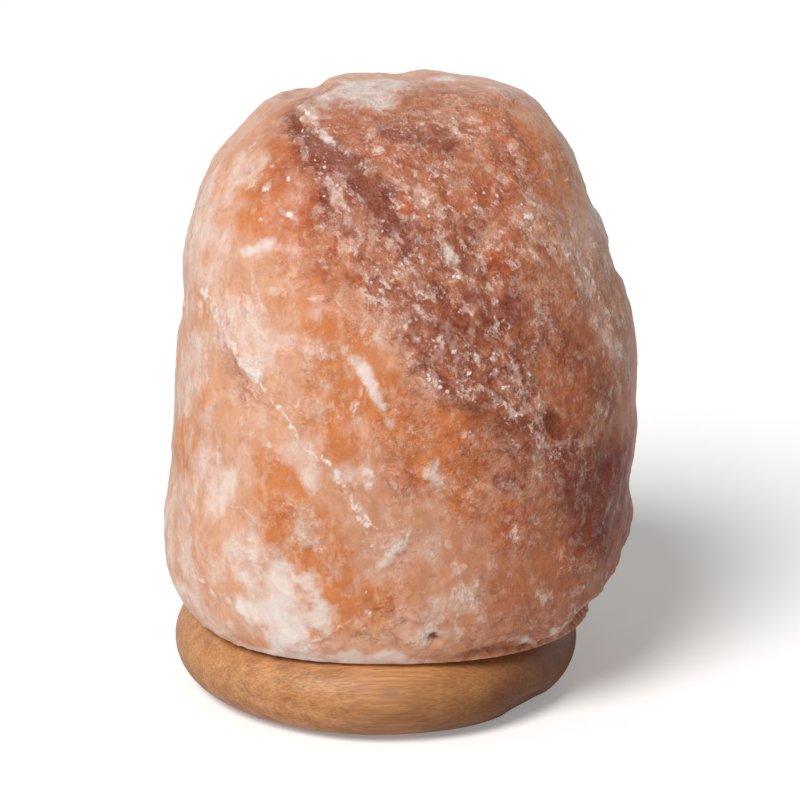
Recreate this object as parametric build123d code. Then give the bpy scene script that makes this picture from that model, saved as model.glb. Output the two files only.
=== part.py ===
"""Salt crystal lamp: a drilled rock of pink salt screwed to a turned wooden base, with a clip-in lampholder.

Millimetres, +Z up. The origin is on the table, on the axis of the wooden base. The front faces -Y and the
cord groove runs out to the back, +Y.
"""
from build123d import *
import math
import os

# ---------------------------------------------------------------- driving dimensions
FELT_THICK = 1.2
BASE_THICK = 22.6
BASE_RADIUS = 60.0          # widest, half way up the rounded edge
BASE_FLAT_RADIUS = 49.0     # flat top and flat underside
BORE_RADIUS = 26.0          # right through the base
RECESS_RADIUS = 32.0        # wider, from below, for the lampholder's disc
RECESS_DEPTH = 12.0
GROOVE_RADIUS = 4.5         # arched groove for the cord, recess to rim
GROOVE_ROOF = 1.0           # wood left between the groove and the ledge
FELT_INSET = 1.5            # from the edge of the flat underside

CAVITY_RADIUS = 27.0        # drilled up into the crystal
CAVITY_DEPTH = 90.0
CAVITY_DOME = 8.0           # height of the drill's coned end
DOME_INSET = 12.8           # how much narrower the end is than the bore

SCREW_CIRCLE = 40.0
SCREW_ANGLES = (30, 150, 270)
SCREW_SHANK = 2.1
SCREW_HEAD = 4.2
SCREW_LENGTH = 44.0
SCREW_TIP = 4.0
SCREW_HEAD_HEIGHT = 2.2
SCREW_SLOT = (5.2, 0.9, 2.4)
HEAD_SEAT = 1.8             # the heads are sunk this far into the base
COUNTERSINK = 2.6           # depth of the cone under a head
PLUG_RADIUS = 4.0
PLUG_LENGTH = 26.0
RIB_PITCH = 5.0
RIB_LENGTH = 3.0

DISC_RADIUS = 31.2
DISC_THICK = 1.0
WING_ANGLES = (30, 150, 270)
WING_WIDTH = 9.0
WING_THICK = 0.5
WING_FOOT = (13.5, 20.5)    # along the disc, from the axis
WING_SHOULDER = (25.0, 21.0)    # where a wing bears on the wall: from the axis, and above the disc
WING_TIP = (21.5, 29.0)
RIVET_CIRCLE = 17.0
RIVET_RADIUS = 1.6
RIVET_HEAD = 2.8
NIPPLE_RADIUS = 5.0
NIPPLE_BORE = 3.6
NUT_ACROSS = 14.0
NUT_THICK = 2.2
INLET_RADIUS = 2.8          # bore of the bush that the cord goes in through
FLANGE = 0.8

HOLDER_RADIUS = 12.5
SKIRT_RADIUS = 11.0
SLEEVE_RADIUS = 11.2
SLEEVE_BORE = 8.7
INSERT_RADIUS = 9.5
WELL_RADIUS = 8.0           # room for the wires below the insert
SHELL_RADIUS = 8.5
TERMINAL_X = 5.2            # terminal screws, either side of the axis
TERMINAL_RADIUS = 1.3
TERMINAL_HEAD = (2.2, 1.6)  # radius and height
SIDE_STRAP_X = 7.3
CENTRE_STRAP_X = 2.4
STRAP_THICK = 0.4
STRAP_WIDTH = 3.0

THREAD_PITCH = 2.822        # small Edison screw, nine turns to the inch
THREAD_CREST = 6.95
THREAD_ROOT = 6.15
THREAD_GAP = 0.2            # between the bulb's cap and the shell
CAP_TURNS = 4.25
CAP_BORE = 5.65
CAP_FLARE = 0.7
INSULATOR_DROP = 2.2        # the black glass below the cap's rim
TIP_RADIUS = 2.2
TIP_DOME = 0.95

BULB_RADIUS = 13.0
BULB_NECK = 5.4
GLASS_WALL = 0.8
WIRE_RADIUS = 0.3
WIRE_SPREAD = 6.5
FILAMENT_RADIUS = 0.25
FILAMENT_RISE = 3.8
SLIP = 0.05                 # clearance where pieces of one body nest

# ---------------------------------------------------------------- levels, from the table up
BASE_BOTTOM = FELT_THICK
LEDGE = BASE_BOTTOM + RECESS_DEPTH          # the disc is pushed up against this
BASE_TOP = BASE_BOTTOM + BASE_THICK         # the crystal's foot stands here
DISC_TOP = LEDGE - SLIP
DISC_BOTTOM = DISC_TOP - DISC_THICK
INSERT_BOTTOM = DISC_TOP + 6.3
INSERT_TOP = INSERT_BOTTOM + 10.5           # contacts and shell stand here
SHELL_TOP = INSERT_TOP + 19.0
CAP_BOTTOM = INSERT_TOP + 6.4               # lower rim of the bulb's metal cap
CAP_TOP = CAP_BOTTOM + 16.6
BULB_TOP = CAP_TOP + 39.0
THREAD_START = CAP_BOTTOM + 1.8
NIPPLE_BOTTOM = DISC_BOTTOM - 2.6
NIPPLE_TOP = DISC_TOP + 3.6
CUP_TOP = INSERT_BOTTOM + 8.1
SLEEVE_TOP = SHELL_TOP + 2.5
STEM_TOP = CAP_TOP + 11.5
FILAMENT_LEVEL = BULB_TOP - 17

# The rock, level by level: height above its foot, and how far it reaches left, right, to the front
# and to the back of the base's axis.
CRYSTAL_LEVELS = (
    (0, 53.5, 62.5, 54, 52),
    (6, 59, 67.5, 57, 56),
    (16, 62.7, 71.7, 60, 59),
    (40, 61, 72.3, 62, 61),
    (70, 58.7, 75.2, 61, 60),
    (95, 56.5, 71.3, 57, 57),
    (115, 54.6, 63.7, 50, 52),
    (132, 48.3, 55.7, 41, 45),
    (143, 40.5, 49, 31.5, 37.5),
    (149.5, 34, 43, 23, 30),
    (153.5, 26, 34, 15, 23),
    (156, 12, 20, 2, 12),
)
CRYSTAL_SQUARENESS = 2.35    # 2 is an ellipse, more is boxier
TOP_TILT = 0.05              # the crown rises to the right by this much of the distance across
RIDGE_LOW = (50, 335)        # a blunt ridge climbs across the front: height and bearing near its foot
RIDGE_HIGH = (135, 235)      # and at its top
RIDGE_WIDTH = 28             # degrees either side over which it fades
RIDGE_STRENGTH = 0.03        # how far it stands out, as a share of the radius
SECTION_POINTS = 28


# ---------------------------------------------------------------- small helpers
def cylinder(radius, bottom, top, x=0.0, y=0.0):
    return Pos(x, y, (bottom + top) / 2) * Cylinder(radius, top - bottom)


def tube(outer, inner, bottom, top, x=0.0, y=0.0):
    return cylinder(outer, bottom, top, x, y) - cylinder(inner, bottom - 1, top + 1, x, y)


def turned(*outline):
    """A solid of revolution about Z from (radius, height) points."""
    return revolve(Plane.XZ * make_face(Polyline(*outline, close=True)), Axis.Z)


def around(shape, angles):
    """Copies of a shape turned about Z."""
    return [Rot(0, 0, angle) * shape for angle in angles]


def rod(radius, *points, bend=None):
    """A round wire through points, in the XZ plane, with rounded corners."""
    path = FilletPolyline(*points, radius=bend) if bend else Polyline(*points)
    return sweep(Plane(path @ 0, z_dir=path % 0) * Circle(radius), path)


# ---------------------------------------------------------------- wooden base
def wood_base():
    middle = BASE_BOTTOM + BASE_THICK / 2
    edge = EllipticalCenterArc(
        (BASE_FLAT_RADIUS, middle), BASE_RADIUS - BASE_FLAT_RADIUS, BASE_THICK / 2,
        start_angle=-90, arc_size=180,
    )
    closing = Polyline(
        (BASE_FLAT_RADIUS, BASE_TOP), (BORE_RADIUS, BASE_TOP), (BORE_RADIUS, LEDGE),
        (RECESS_RADIUS, LEDGE), (RECESS_RADIUS, BASE_BOTTOM), (BASE_FLAT_RADIUS, BASE_BOTTOM),
    )
    body = revolve(Plane.XZ * make_face([edge, *closing.edges()]), Axis.Z)
    spring = LEDGE - GROOVE_ROOF - GROOVE_RADIUS
    arch = Pos(0, spring) * Circle(GROOVE_RADIUS) + Pos(0, spring / 2) * Rectangle(2 * GROOVE_RADIUS, spring)
    groove_start = RECESS_RADIUS - GROOVE_RADIUS
    body -= extrude(Plane((0, groove_start, 0), x_dir=(-1, 0, 0), z_dir=(0, 1, 0)) * arch, BASE_RADIUS)
    shank_hole, head_hole, seat = SCREW_SHANK + 0.5, SCREW_HEAD + 0.4, BASE_BOTTOM + HEAD_SEAT
    hole = cylinder(shank_hole, 0, BASE_TOP + 1, SCREW_CIRCLE) + cylinder(head_hole, 0, seat, SCREW_CIRCLE)
    hole += Pos(SCREW_CIRCLE, 0, seat + COUNTERSINK / 2) * Cone(head_hole, shank_hole, COUNTERSINK)
    return body - around(hole, SCREW_ANGLES)


def felt_ring():
    """A felt foot, open at the cord groove and punched round the screw heads."""
    inner, outer = RECESS_RADIUS + 2, BASE_FLAT_RADIUS - FELT_INSET
    ring = tube(outer, inner, 0, FELT_THICK)
    gap = Pos(0, outer, FELT_THICK / 2) * Box(2 * GROOVE_RADIUS + 1, outer, 2 * FELT_THICK)
    punched = around(cylinder(SCREW_HEAD + 1, -1, FELT_THICK + 1, SCREW_CIRCLE), SCREW_ANGLES)
    return ring - [gap, *punched]


# ---------------------------------------------------------------- salt crystal
def ridge_swell(angle, height):
    """How much the blunt ridge adds to the radius, as a factor, at a bearing and a height."""
    (low, low_angle), (high, high_angle) = RIDGE_LOW, RIDGE_HIGH
    ridge = low_angle + (high_angle - low_angle) * (height - low) / (high - low)
    off = (math.degrees(angle) - ridge + 180) % 360 - 180
    return 1 + RIDGE_STRENGTH * math.exp(-((off / RIDGE_WIDTH) ** 2))


def crystal_section(height, left, right, front, back):
    """A closed curve round the rock: a blunt superellipse of four different reaches, tilted at the top."""
    tilt = TOP_TILT * (height / CRYSTAL_LEVELS[-1][0]) ** 4
    power = CRYSTAL_SQUARENESS
    points = []
    for k in range(SECTION_POINTS):
        angle = 2 * math.pi * k / SECTION_POINTS
        c, s = math.cos(angle), math.sin(angle)
        reach_x = right if c > 0 else left
        reach_y = back if s > 0 else front
        radius = (abs(c / reach_x) ** power + abs(s / reach_y) ** power) ** (-1 / power)
        radius *= ridge_swell(angle, height)
        points.append((radius * c, radius * s, BASE_TOP + height + tilt * radius * c))
    return make_face(Spline(*points, periodic=True))


def salt_crystal():
    rock = loft([crystal_section(*level) for level in CRYSTAL_LEVELS])
    straight = BASE_TOP + CAVITY_DEPTH - CAVITY_DOME
    cavity = cylinder(CAVITY_RADIUS, BASE_TOP - 1, straight)
    dome = Cone(CAVITY_RADIUS, CAVITY_RADIUS - DOME_INSET, CAVITY_DOME)
    cavity += Pos(0, 0, straight + CAVITY_DOME / 2) * dome
    plug_hole = cylinder(PLUG_RADIUS, BASE_TOP - 1, BASE_TOP + PLUG_LENGTH + 1, SCREW_CIRCLE)
    return rock - [cavity, *around(plug_hole, SCREW_ANGLES)]


def wall_plugs():
    """Ribbed nylon plugs that the screws grip in the salt."""
    bottom = BASE_TOP + 0.2
    plug = tube(PLUG_RADIUS - 0.5, SCREW_SHANK + SLIP, bottom, bottom + PLUG_LENGTH, SCREW_CIRCLE)
    for k in range(int(PLUG_LENGTH / RIB_PITCH)):
        rib = bottom + 0.5 + RIB_PITCH * k
        plug += tube(PLUG_RADIUS - SLIP, SCREW_SHANK + SLIP, rib, rib + RIB_LENGTH, SCREW_CIRCLE)
    return around(plug, SCREW_ANGLES)


def crystal_screws():
    """Countersunk wood screws with a cross slot, driven up from below."""
    bottom = BASE_BOTTOM + HEAD_SEAT
    land = 0.3
    top = bottom + SCREW_LENGTH
    screw = turned(
        (0, bottom), (SCREW_HEAD, bottom), (SCREW_HEAD, bottom + land),
        (SCREW_SHANK, bottom + SCREW_HEAD_HEIGHT), (SCREW_SHANK, top - SCREW_TIP), (0, top),
    )
    for angle in (0, 90):
        screw -= Pos(0, 0, bottom) * Rot(0, 0, angle) * Box(*SCREW_SLOT)
    return around(Pos(SCREW_CIRCLE, 0, 0) * screw, SCREW_ANGLES)


# ---------------------------------------------------------------- lampholder unit: disc and clips
def mounting_disc():
    """The plate that stops against the ledge in the base and carries the holder and its clips."""
    disc = cylinder(DISC_RADIUS, DISC_BOTTOM, DISC_TOP)
    nipple_hole = cylinder(NIPPLE_RADIUS + SLIP, 0, LEDGE + 1)
    rivet_hole = cylinder(RIVET_RADIUS + SLIP, 0, LEDGE + 1, RIVET_CIRCLE)
    return disc - [nipple_hole, *around(rivet_hole, WING_ANGLES)]


def spring_wing(angle):
    """A strip of spring steel: foot on the disc, riser leaning out to the wall, tip turned in."""
    foot = DISC_TOP + WING_THICK / 2
    inner, bend = WING_FOOT
    risen = [(reach, 0, DISC_TOP + height) for reach, height in (WING_SHOULDER, WING_TIP)]
    spine = Polyline((inner, 0, foot), (bend, 0, foot), *risen)
    strip = Plane((inner, 0, foot), x_dir=(0, 1, 0), z_dir=(1, 0, 0)) * Rectangle(WING_WIDTH, WING_THICK)
    wing = sweep(strip, spine, transition=Transition.ROUND)
    wing -= cylinder(RIVET_RADIUS + SLIP, 0, LEDGE + 2, RIVET_CIRCLE)
    return Rot(0, 0, angle) * wing


def wing_rivets():
    rim, dome = RIVET_HEAD - 0.8, 0.8
    under, over = DISC_BOTTOM - SLIP, DISC_TOP + WING_THICK + SLIP
    rivet = turned(
        (0, under - dome), (rim, under - dome), (RIVET_HEAD, under), (RIVET_RADIUS, under),
        (RIVET_RADIUS, over), (RIVET_HEAD, over), (rim, over + dome), (0, over + dome),
    )
    return around(Pos(RIVET_CIRCLE, 0, 0) * rivet, WING_ANGLES)


def nipple():
    """The hollow threaded tube that holds the cup on the disc and lets the cord in."""
    return tube(NIPPLE_RADIUS, NIPPLE_BORE, NIPPLE_BOTTOM, NIPPLE_TOP)


def nipple_nut():
    bottom = DISC_BOTTOM - SLIP - NUT_THICK
    nut = extrude(Plane((0, 0, bottom)) * RegularPolygon(NUT_ACROSS / math.sqrt(3), 6), NUT_THICK)
    return nut - cylinder(NIPPLE_RADIUS + SLIP, 0, LEDGE)


def inlet_bush():
    """A flanged plastic liner pressed up the nipple, so that its metal edge can't cut a cord."""
    flange_top = NIPPLE_BOTTOM - SLIP
    bush = cylinder(NIPPLE_RADIUS - 0.2, flange_top - FLANGE, flange_top)
    bush += cylinder(NIPPLE_BORE - SLIP, flange_top - FLANGE, NIPPLE_TOP)
    return bush - cylinder(INLET_RADIUS, 0, NIPPLE_TOP + 1)


# ---------------------------------------------------------------- lampholder unit: holder
def holder_cup():
    """The lower cup: it screws on the nipple, and the insert stands on the step inside it."""
    bottom = DISC_TOP + SLIP
    chamfer, floor = 3.0, bottom + 2.5
    hole = NIPPLE_RADIUS + SLIP
    return turned(
        (hole, bottom), (HOLDER_RADIUS - chamfer, bottom), (HOLDER_RADIUS, bottom + chamfer),
        (HOLDER_RADIUS, CUP_TOP), (SKIRT_RADIUS, CUP_TOP), (SKIRT_RADIUS, INSERT_BOTTOM),
        (WELL_RADIUS, INSERT_BOTTOM), (WELL_RADIUS, floor), (hole, floor),
    )


def holder_sleeve():
    """The upper tube, whose skirt screws into the cup and traps the insert."""
    low = CUP_TOP + SLIP
    skirt_out, skirt_in = SKIRT_RADIUS - 0.1, INSERT_RADIUS + 0.1
    skirt, collar, slope, lip = 3.0, 3.0, 1.5, 0.8
    shoulder = INSERT_TOP + SLIP
    return turned(
        (skirt_in, low - skirt), (skirt_out, low - skirt), (skirt_out, low), (HOLDER_RADIUS, low),
        (HOLDER_RADIUS, low + collar), (SLEEVE_RADIUS, low + collar + slope), (SLEEVE_RADIUS, SLEEVE_TOP - lip),
        (SLEEVE_RADIUS - lip, SLEEVE_TOP), (SLEEVE_BORE, SLEEVE_TOP), (SLEEVE_BORE, shoulder),
        (skirt_in, shoulder),
    )


def holder_insert():
    """The porcelain block between the wires and the contacts."""
    block = cylinder(INSERT_RADIUS, INSERT_BOTTOM, INSERT_TOP)
    hole = TERMINAL_RADIUS + SLIP
    screw_holes = [cylinder(hole, 0, INSERT_TOP - 2, side * TERMINAL_X) for side in (-1, 1)]
    slot = Box(STRAP_THICK + 0.1, STRAP_WIDTH + 0.1, 3 * INSERT_TOP)
    return block - [*screw_holes, Pos(SIDE_STRAP_X, 0, 0) * slot, Pos(-CENTRE_STRAP_X, 0, 0) * slot]


def contact_strip(*points, bend):
    """A brass strip bent in the XZ plane, drilled for its terminal screw under the insert."""
    spine = FilletPolyline(*points, radius=bend)
    section = Plane(spine @ 0, x_dir=(0, 1, 0), z_dir=spine % 0) * Rectangle(STRAP_WIDTH, STRAP_THICK)
    side = math.copysign(TERMINAL_X, points[0][0])
    return sweep(section, spine) - cylinder(TERMINAL_RADIUS + SLIP, 0, INSERT_BOTTOM + 1, side)


def side_contact():
    """From its terminal screw up to the foot of the screw shell."""
    foot = INSERT_BOTTOM - STRAP_THICK / 2
    return contact_strip(
        (3.6, 0, foot), (SIDE_STRAP_X, 0, foot), (SIDE_STRAP_X, 0, INSERT_TOP), bend=STRAP_THICK / 2 + 0.05
    )


def centre_contact():
    """From its terminal screw up through the insert, and over into a springy tongue under the bulb's tip."""
    foot = INSERT_BOTTOM - STRAP_THICK / 2
    return contact_strip(
        (-7.0, 0, foot), (-CENTRE_STRAP_X, 0, foot), (-CENTRE_STRAP_X, 0, INSERT_TOP + 1.2),
        (0.2, 0, CAP_BOTTOM - 3.6), (3.2, 0, CAP_BOTTOM - 4.4), bend=STRAP_THICK / 2 + 0.05,
    )


def terminal_screws():
    top = INSERT_BOTTOM - STRAP_THICK - SLIP
    head, head_height = TERMINAL_HEAD
    screw = cylinder(head, top - head_height, top)
    screw += cylinder(TERMINAL_RADIUS, top - head_height / 2, INSERT_TOP - 3)
    screw -= Pos(0, 0, top - head_height) * Box(3 * head, 0.7, head_height)
    return [Pos(side * TERMINAL_X, 0, 0) * screw for side in (-1, 1)]


def threaded_rod(crest, root, bottom, top, start, turns):
    """A rod with a rounded Edison thread: a coil whose section is a bump rising out of the root cylinder."""
    sunk, half_width = root - 0.3, 1.1
    bump = ThreePointArc((sunk, -half_width), (crest, 0), (sunk, half_width))
    chord = Line((sunk, half_width), (sunk, -half_width))
    section = Plane((0, 0, start), x_dir=(1, 0, 0), z_dir=(0, -1, 0)) * make_face([bump, chord])
    coil = Helix(THREAD_PITCH, turns * THREAD_PITCH, root, center=(0, 0, start))
    return cylinder(root, bottom, top) + sweep(section, coil, is_frenet=True)


def screw_shell():
    """The brass shell, its internal thread starting a turn below the bulb's and running out of the top."""
    bottom = INSERT_TOP + SLIP
    start = THREAD_START - THREAD_PITCH
    turns = math.ceil((SHELL_TOP - start) / THREAD_PITCH) + 1
    void = threaded_rod(
        THREAD_CREST + THREAD_GAP, THREAD_ROOT + THREAD_GAP, bottom - 1, SHELL_TOP + 1, start, turns
    )
    return cylinder(SHELL_RADIUS, bottom, SHELL_TOP) - void


# ---------------------------------------------------------------- bulb
def bulb_cap():
    """The nickelled cap: a threaded shell whose top flares out into a rim round the bulb's neck."""
    cap = threaded_rod(THREAD_CREST, THREAD_ROOT, CAP_BOTTOM, CAP_TOP - 2, THREAD_START, CAP_TURNS)
    low, rim = CAP_TOP - 2.4, THREAD_ROOT + CAP_FLARE
    cap += turned((0, low), (THREAD_ROOT, low), (rim, low + 1), (rim, CAP_TOP), (0, CAP_TOP))
    return cap - cylinder(CAP_BORE, CAP_BOTTOM - 1, CAP_TOP + 1)


def cap_insulator():
    """Black glass between the cap and the tip: a cone below the cap's rim, and a plug inside it."""
    low, high = CAP_BOTTOM - INSULATOR_DROP, CAP_BOTTOM + 1
    rim = CAP_BOTTOM - SLIP
    inside = CAP_BORE - SLIP
    return turned(
        (TIP_RADIUS, low), (TIP_RADIUS + 1, low), (THREAD_ROOT - 0.1, rim), (inside, rim),
        (inside, high), (TIP_RADIUS, high),
    )


def cap_contact():
    """The tip: a brass pin with a low dome of solder."""
    low, high = CAP_BOTTOM - INSULATOR_DROP, CAP_BOTTOM + 1
    tip = low - TIP_DOME
    pin = TIP_RADIUS - SLIP
    outline = [
        Line((pin, low), (pin, high)),
        Line((pin, high), (0, high)),
        Line((0, high), (0, tip)),
        SagittaArc((0, tip), (pin, low), -0.25),
    ]
    return revolve(Plane.XZ * make_face(outline), Axis.Z)


def bulb_glass():
    """A small tubular bulb: a neck inside the cap, a shoulder, a straight side and a round crown."""
    def solid(inset, bottom):
        r, neck, crown = BULB_RADIUS - inset, BULB_NECK - inset, BULB_TOP - inset
        side_low, side_high = CAP_TOP + 12, crown - r
        bend_start, bend = CAP_TOP + 0.5, CAP_TOP + 5
        profile = [
            Line((0, bottom), (neck, bottom)),
            Line((neck, bottom), (neck, bend_start)),
            Bezier((neck, bend_start), (neck, bend), (r, bend), (r, side_low)),
            Line((r, side_low), (r, side_high)),
            CenterArc((0, side_high), r, 0, 90),
            Line((0, crown), (0, bottom)),
        ]
        return revolve(Plane.XZ * make_face(profile), Axis.Z)

    low = CAP_TOP - 9
    return solid(0, low) - solid(GLASS_WALL, low - 1)


def glass_stem():
    """The flared glass stem that carries the wires, pinched flat at its top."""
    low, neck = CAP_TOP - 8, CAP_TOP + 7
    stem = turned((0, low), (4.2, low), (2.4, low + 4), (2.2, neck), (0, neck))
    pinch_high = 5
    pinch = Pos(0, 0, STEM_TOP - pinch_high / 2) * Box(7, 2, pinch_high)
    return stem + fillet(pinch.edges().filter_by(Axis.Y), 1)


def lead_wires():
    def wire(side):
        root, bend = (side * 2.4, 0, STEM_TOP), (side * 2.6, 0, STEM_TOP + 3.5)
        return rod(WIRE_RADIUS, root, bend, (side * WIRE_SPREAD, 0, FILAMENT_LEVEL), bend=2)

    return [wire(side) for side in (-1, 1)]


def filament():
    """Drawn as one thin arc, strung between the wires and bowed over its support."""
    reach, low = WIRE_SPREAD - 0.8, FILAMENT_LEVEL - 0.4
    path = ThreePointArc((-reach, 0, low), (0, 0, low + FILAMENT_RISE), (reach, 0, low))
    return sweep(Plane(path @ 0, z_dir=path % 0) * Circle(FILAMENT_RADIUS), path)


def filament_support():
    """A glass post with a bead, and the hook that stands up to the filament."""
    low = STEM_TOP + SLIP
    post = cylinder(0.7, low, low + 3) + Pos(0, 0, low + 3) * Sphere(1.1)
    return post + cylinder(0.2, low + 3, FILAMENT_LEVEL + 3.1)


# ---------------------------------------------------------------- the set of pieces
def pieces():
    made = {
        "wood_base": wood_base(),
        "felt_ring": felt_ring(),
        "salt_crystal": salt_crystal(),
        "wall_plugs": wall_plugs(),
        "crystal_screws": crystal_screws(),
        "mounting_disc": mounting_disc(),
        "wing_rivets": wing_rivets(),
        "nipple": nipple(),
        "nipple_nut": nipple_nut(),
        "inlet_bush": inlet_bush(),
        "holder_cup": holder_cup(),
        "holder_sleeve": holder_sleeve(),
        "holder_insert": holder_insert(),
        "terminal_screws": terminal_screws(),
        "side_contact": side_contact(),
        "centre_contact": centre_contact(),
        "screw_shell": screw_shell(),
        "bulb_cap": bulb_cap(),
        "cap_insulator": cap_insulator(),
        "cap_contact": cap_contact(),
        "bulb_glass": bulb_glass(),
        "glass_stem": glass_stem(),
        "lead_wires": lead_wires(),
        "filament": filament(),
        "filament_support": filament_support(),
    }
    for number, angle in enumerate(WING_ANGLES, 1):
        made[f"spring_wing_{number}"] = spring_wing(angle)
    return made


def main():
    os.makedirs("parts", exist_ok=True)
    for name, shape in pieces().items():
        whole = Compound(children=list(shape)) if isinstance(shape, list) else shape
        export_step(whole, f"parts/{name}.step")


if __name__ == "__main__":
    main()
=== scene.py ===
"""The looks of a salt crystal lamp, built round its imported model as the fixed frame.

Run as a script. It is laid out as an add-on: settings, one operator for each piece or group of like
pieces, and a panel in the 3D view's sidebar that lists them. All sizes are in metres.
"""

import math
from functools import partial
from typing import NamedTuple

import bmesh
import bpy
import numpy as np
from mathutils import Matrix, Vector, noise
from mathutils.bvhtree import BVHTree


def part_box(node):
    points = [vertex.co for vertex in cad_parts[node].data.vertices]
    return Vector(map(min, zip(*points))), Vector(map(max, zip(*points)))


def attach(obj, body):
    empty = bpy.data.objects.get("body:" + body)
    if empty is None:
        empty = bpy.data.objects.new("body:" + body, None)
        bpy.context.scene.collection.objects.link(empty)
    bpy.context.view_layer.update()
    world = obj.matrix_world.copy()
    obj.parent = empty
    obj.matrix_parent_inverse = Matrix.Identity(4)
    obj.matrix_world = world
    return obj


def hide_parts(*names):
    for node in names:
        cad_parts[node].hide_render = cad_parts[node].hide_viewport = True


bl_info = {
    "name": "Salt crystal lamp",
    "version": (1, 0, 0),
    "blender": (4, 5, 0),
    "location": "View3D > Sidebar > Salt lamp",
    "description": "Carves and finishes a salt crystal lamp round its frame",
    "category": "Add Mesh",
}

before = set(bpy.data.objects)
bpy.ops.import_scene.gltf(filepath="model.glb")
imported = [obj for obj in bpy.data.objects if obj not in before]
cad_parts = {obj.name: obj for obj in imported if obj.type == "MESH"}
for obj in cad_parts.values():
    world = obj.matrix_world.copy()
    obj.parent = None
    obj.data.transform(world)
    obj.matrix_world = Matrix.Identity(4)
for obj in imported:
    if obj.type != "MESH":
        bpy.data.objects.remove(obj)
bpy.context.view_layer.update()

MM = 0.001
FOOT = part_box("salt_crystal")[0].z
BASE_LOW, BASE_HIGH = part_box("wood_base")

# ---------------------------------------------------------------- the photograph's camera
PICTURE = 800
SENSOR = 36.0
LENS = 128.4
CAMERA_TARGET = Vector((6.4 * MM, 0, 85.0 * MM))
CAMERA_DISTANCE = 834.9 * MM
CAMERA_BEARING = math.radians(-0.453)
CAMERA_RISE = math.radians(17.43)
CAMERA_ROLL = math.radians(-0.696)
CAMERA_SEES = (0.01, 20)            # metres, from the nearest to the farthest

KEY_BEARING = math.radians(-32)     # to the right of straight in front, as the camera's, so this is left
KEY_RISE = math.radians(44)
KEY_SPREAD = math.radians(26)       # how wide the light looks from the lamp


def direction(bearing, rise):
    """The direction from the lamp to what stands at that bearing and that far up."""
    level = math.cos(rise)
    return Vector((math.sin(bearing) * level, -math.cos(bearing) * level, math.sin(rise)))


def camera_place():
    """The camera's position."""
    return CAMERA_TARGET + CAMERA_DISTANCE * direction(CAMERA_BEARING, CAMERA_RISE)


def camera_axes():
    """Rightward, upward and forward directions of the picture."""
    forward = (CAMERA_TARGET - camera_place()).normalized()
    right = forward.cross(Vector((0, 0, 1))).normalized()
    up = right.cross(forward)
    c, s = math.cos(CAMERA_ROLL), math.sin(CAMERA_ROLL)
    return right * c - up * s, up * c + right * s, forward


def picture_ray(x, y):
    """The direction from the camera through a pixel of the 800 x 800 picture."""
    right, up, forward = camera_axes()
    scale = SENSOR / LENS / PICTURE
    return (forward + right * (x - PICTURE / 2) * scale - up * (y - PICTURE / 2) * scale).normalized()


# ---------------------------------------------------------------- small helpers
def linear(code):
    """An sRGB hex colour as linear red, green, blue and an alpha of 1."""
    channels = [int(code[i:i + 2], 16) / 255 for i in (1, 3, 5)]
    return (*(c / 12.92 if c <= 0.04045 else ((c + 0.055) / 1.055) ** 2.4 for c in channels), 1.0)


# Settings that many nodes share: an eased range, a mix of colours, and one colour multiplied by another
SMOOTH = {"interpolation_type": "SMOOTHSTEP"}
COLOUR = {"data_type": "RGBA"}
TINT = {"data_type": "RGBA", "blend_type": "MULTIPLY"}
# Which output a node is read by, where it isn't the first
MAIN_OUTPUT = {"ShaderNodeMix": 2, "ShaderNodeTexCoord": 3, "ShaderNodeAttribute": 2}


def add_node(tree, kind, inputs=None, **settings):
    """Adds a node, sets its properties, and sets or links its inputs, by name or by number."""
    new = tree.nodes.new("ShaderNode" + kind)
    for name, value in settings.items():
        setattr(new, name, value)
    for name, value in (inputs or {}).items():
        if isinstance(value, bpy.types.Node):
            value = value.outputs[MAIN_OUTPUT.get(value.bl_idname, 0)]
        if isinstance(value, bpy.types.NodeSocket):
            tree.links.new(value, new.inputs[name])
        else:
            new.inputs[name].default_value = value
    return new


def new_material(name):
    """An empty node material, and what adds nodes to it."""
    material = bpy.data.materials.new(name)
    material.use_nodes = True
    material.node_tree.nodes.clear()
    return material, partial(add_node, material.node_tree)


def dress(material, *nodes):
    """Gives CAD nodes a material."""
    for name in nodes:
        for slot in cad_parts[name].material_slots:
            slot.material = material


def new_piece(name, mesh, body, slot, material, *nodes):
    """Puts a finished mesh in the scene, on its body, in place of CAD nodes."""
    piece = bpy.data.objects.new(name, mesh)
    bpy.context.scene.collection.objects.link(piece)
    mesh.materials.clear()
    mesh.materials.append(material)
    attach(piece, body)
    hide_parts(*nodes)


def smoothstep(low, high, values):
    """0 up to the low value, 1 from the high one, and an eased rise between them."""
    t = np.clip((values - low) / (high - low), 0, 1)
    return t * t * (3 - 2 * t)


# ---------------------------------------------------------------- marks on the rock
class Mark(NamedTuple):
    """A blotch on the rock: where it shows in the picture, and its real size."""

    x: float          # pixel of its middle, in the 800 x 800 picture
    y: float
    length: float     # millimetres, along its tilt
    width: float
    tilt: float       # degrees, counter-clockwise from the picture's right
    amount: float = 1.0


def marks(*rows):
    """Marks from rows of numbers, in a mark's own order."""
    return tuple(Mark(*row) for row in rows)


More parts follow.
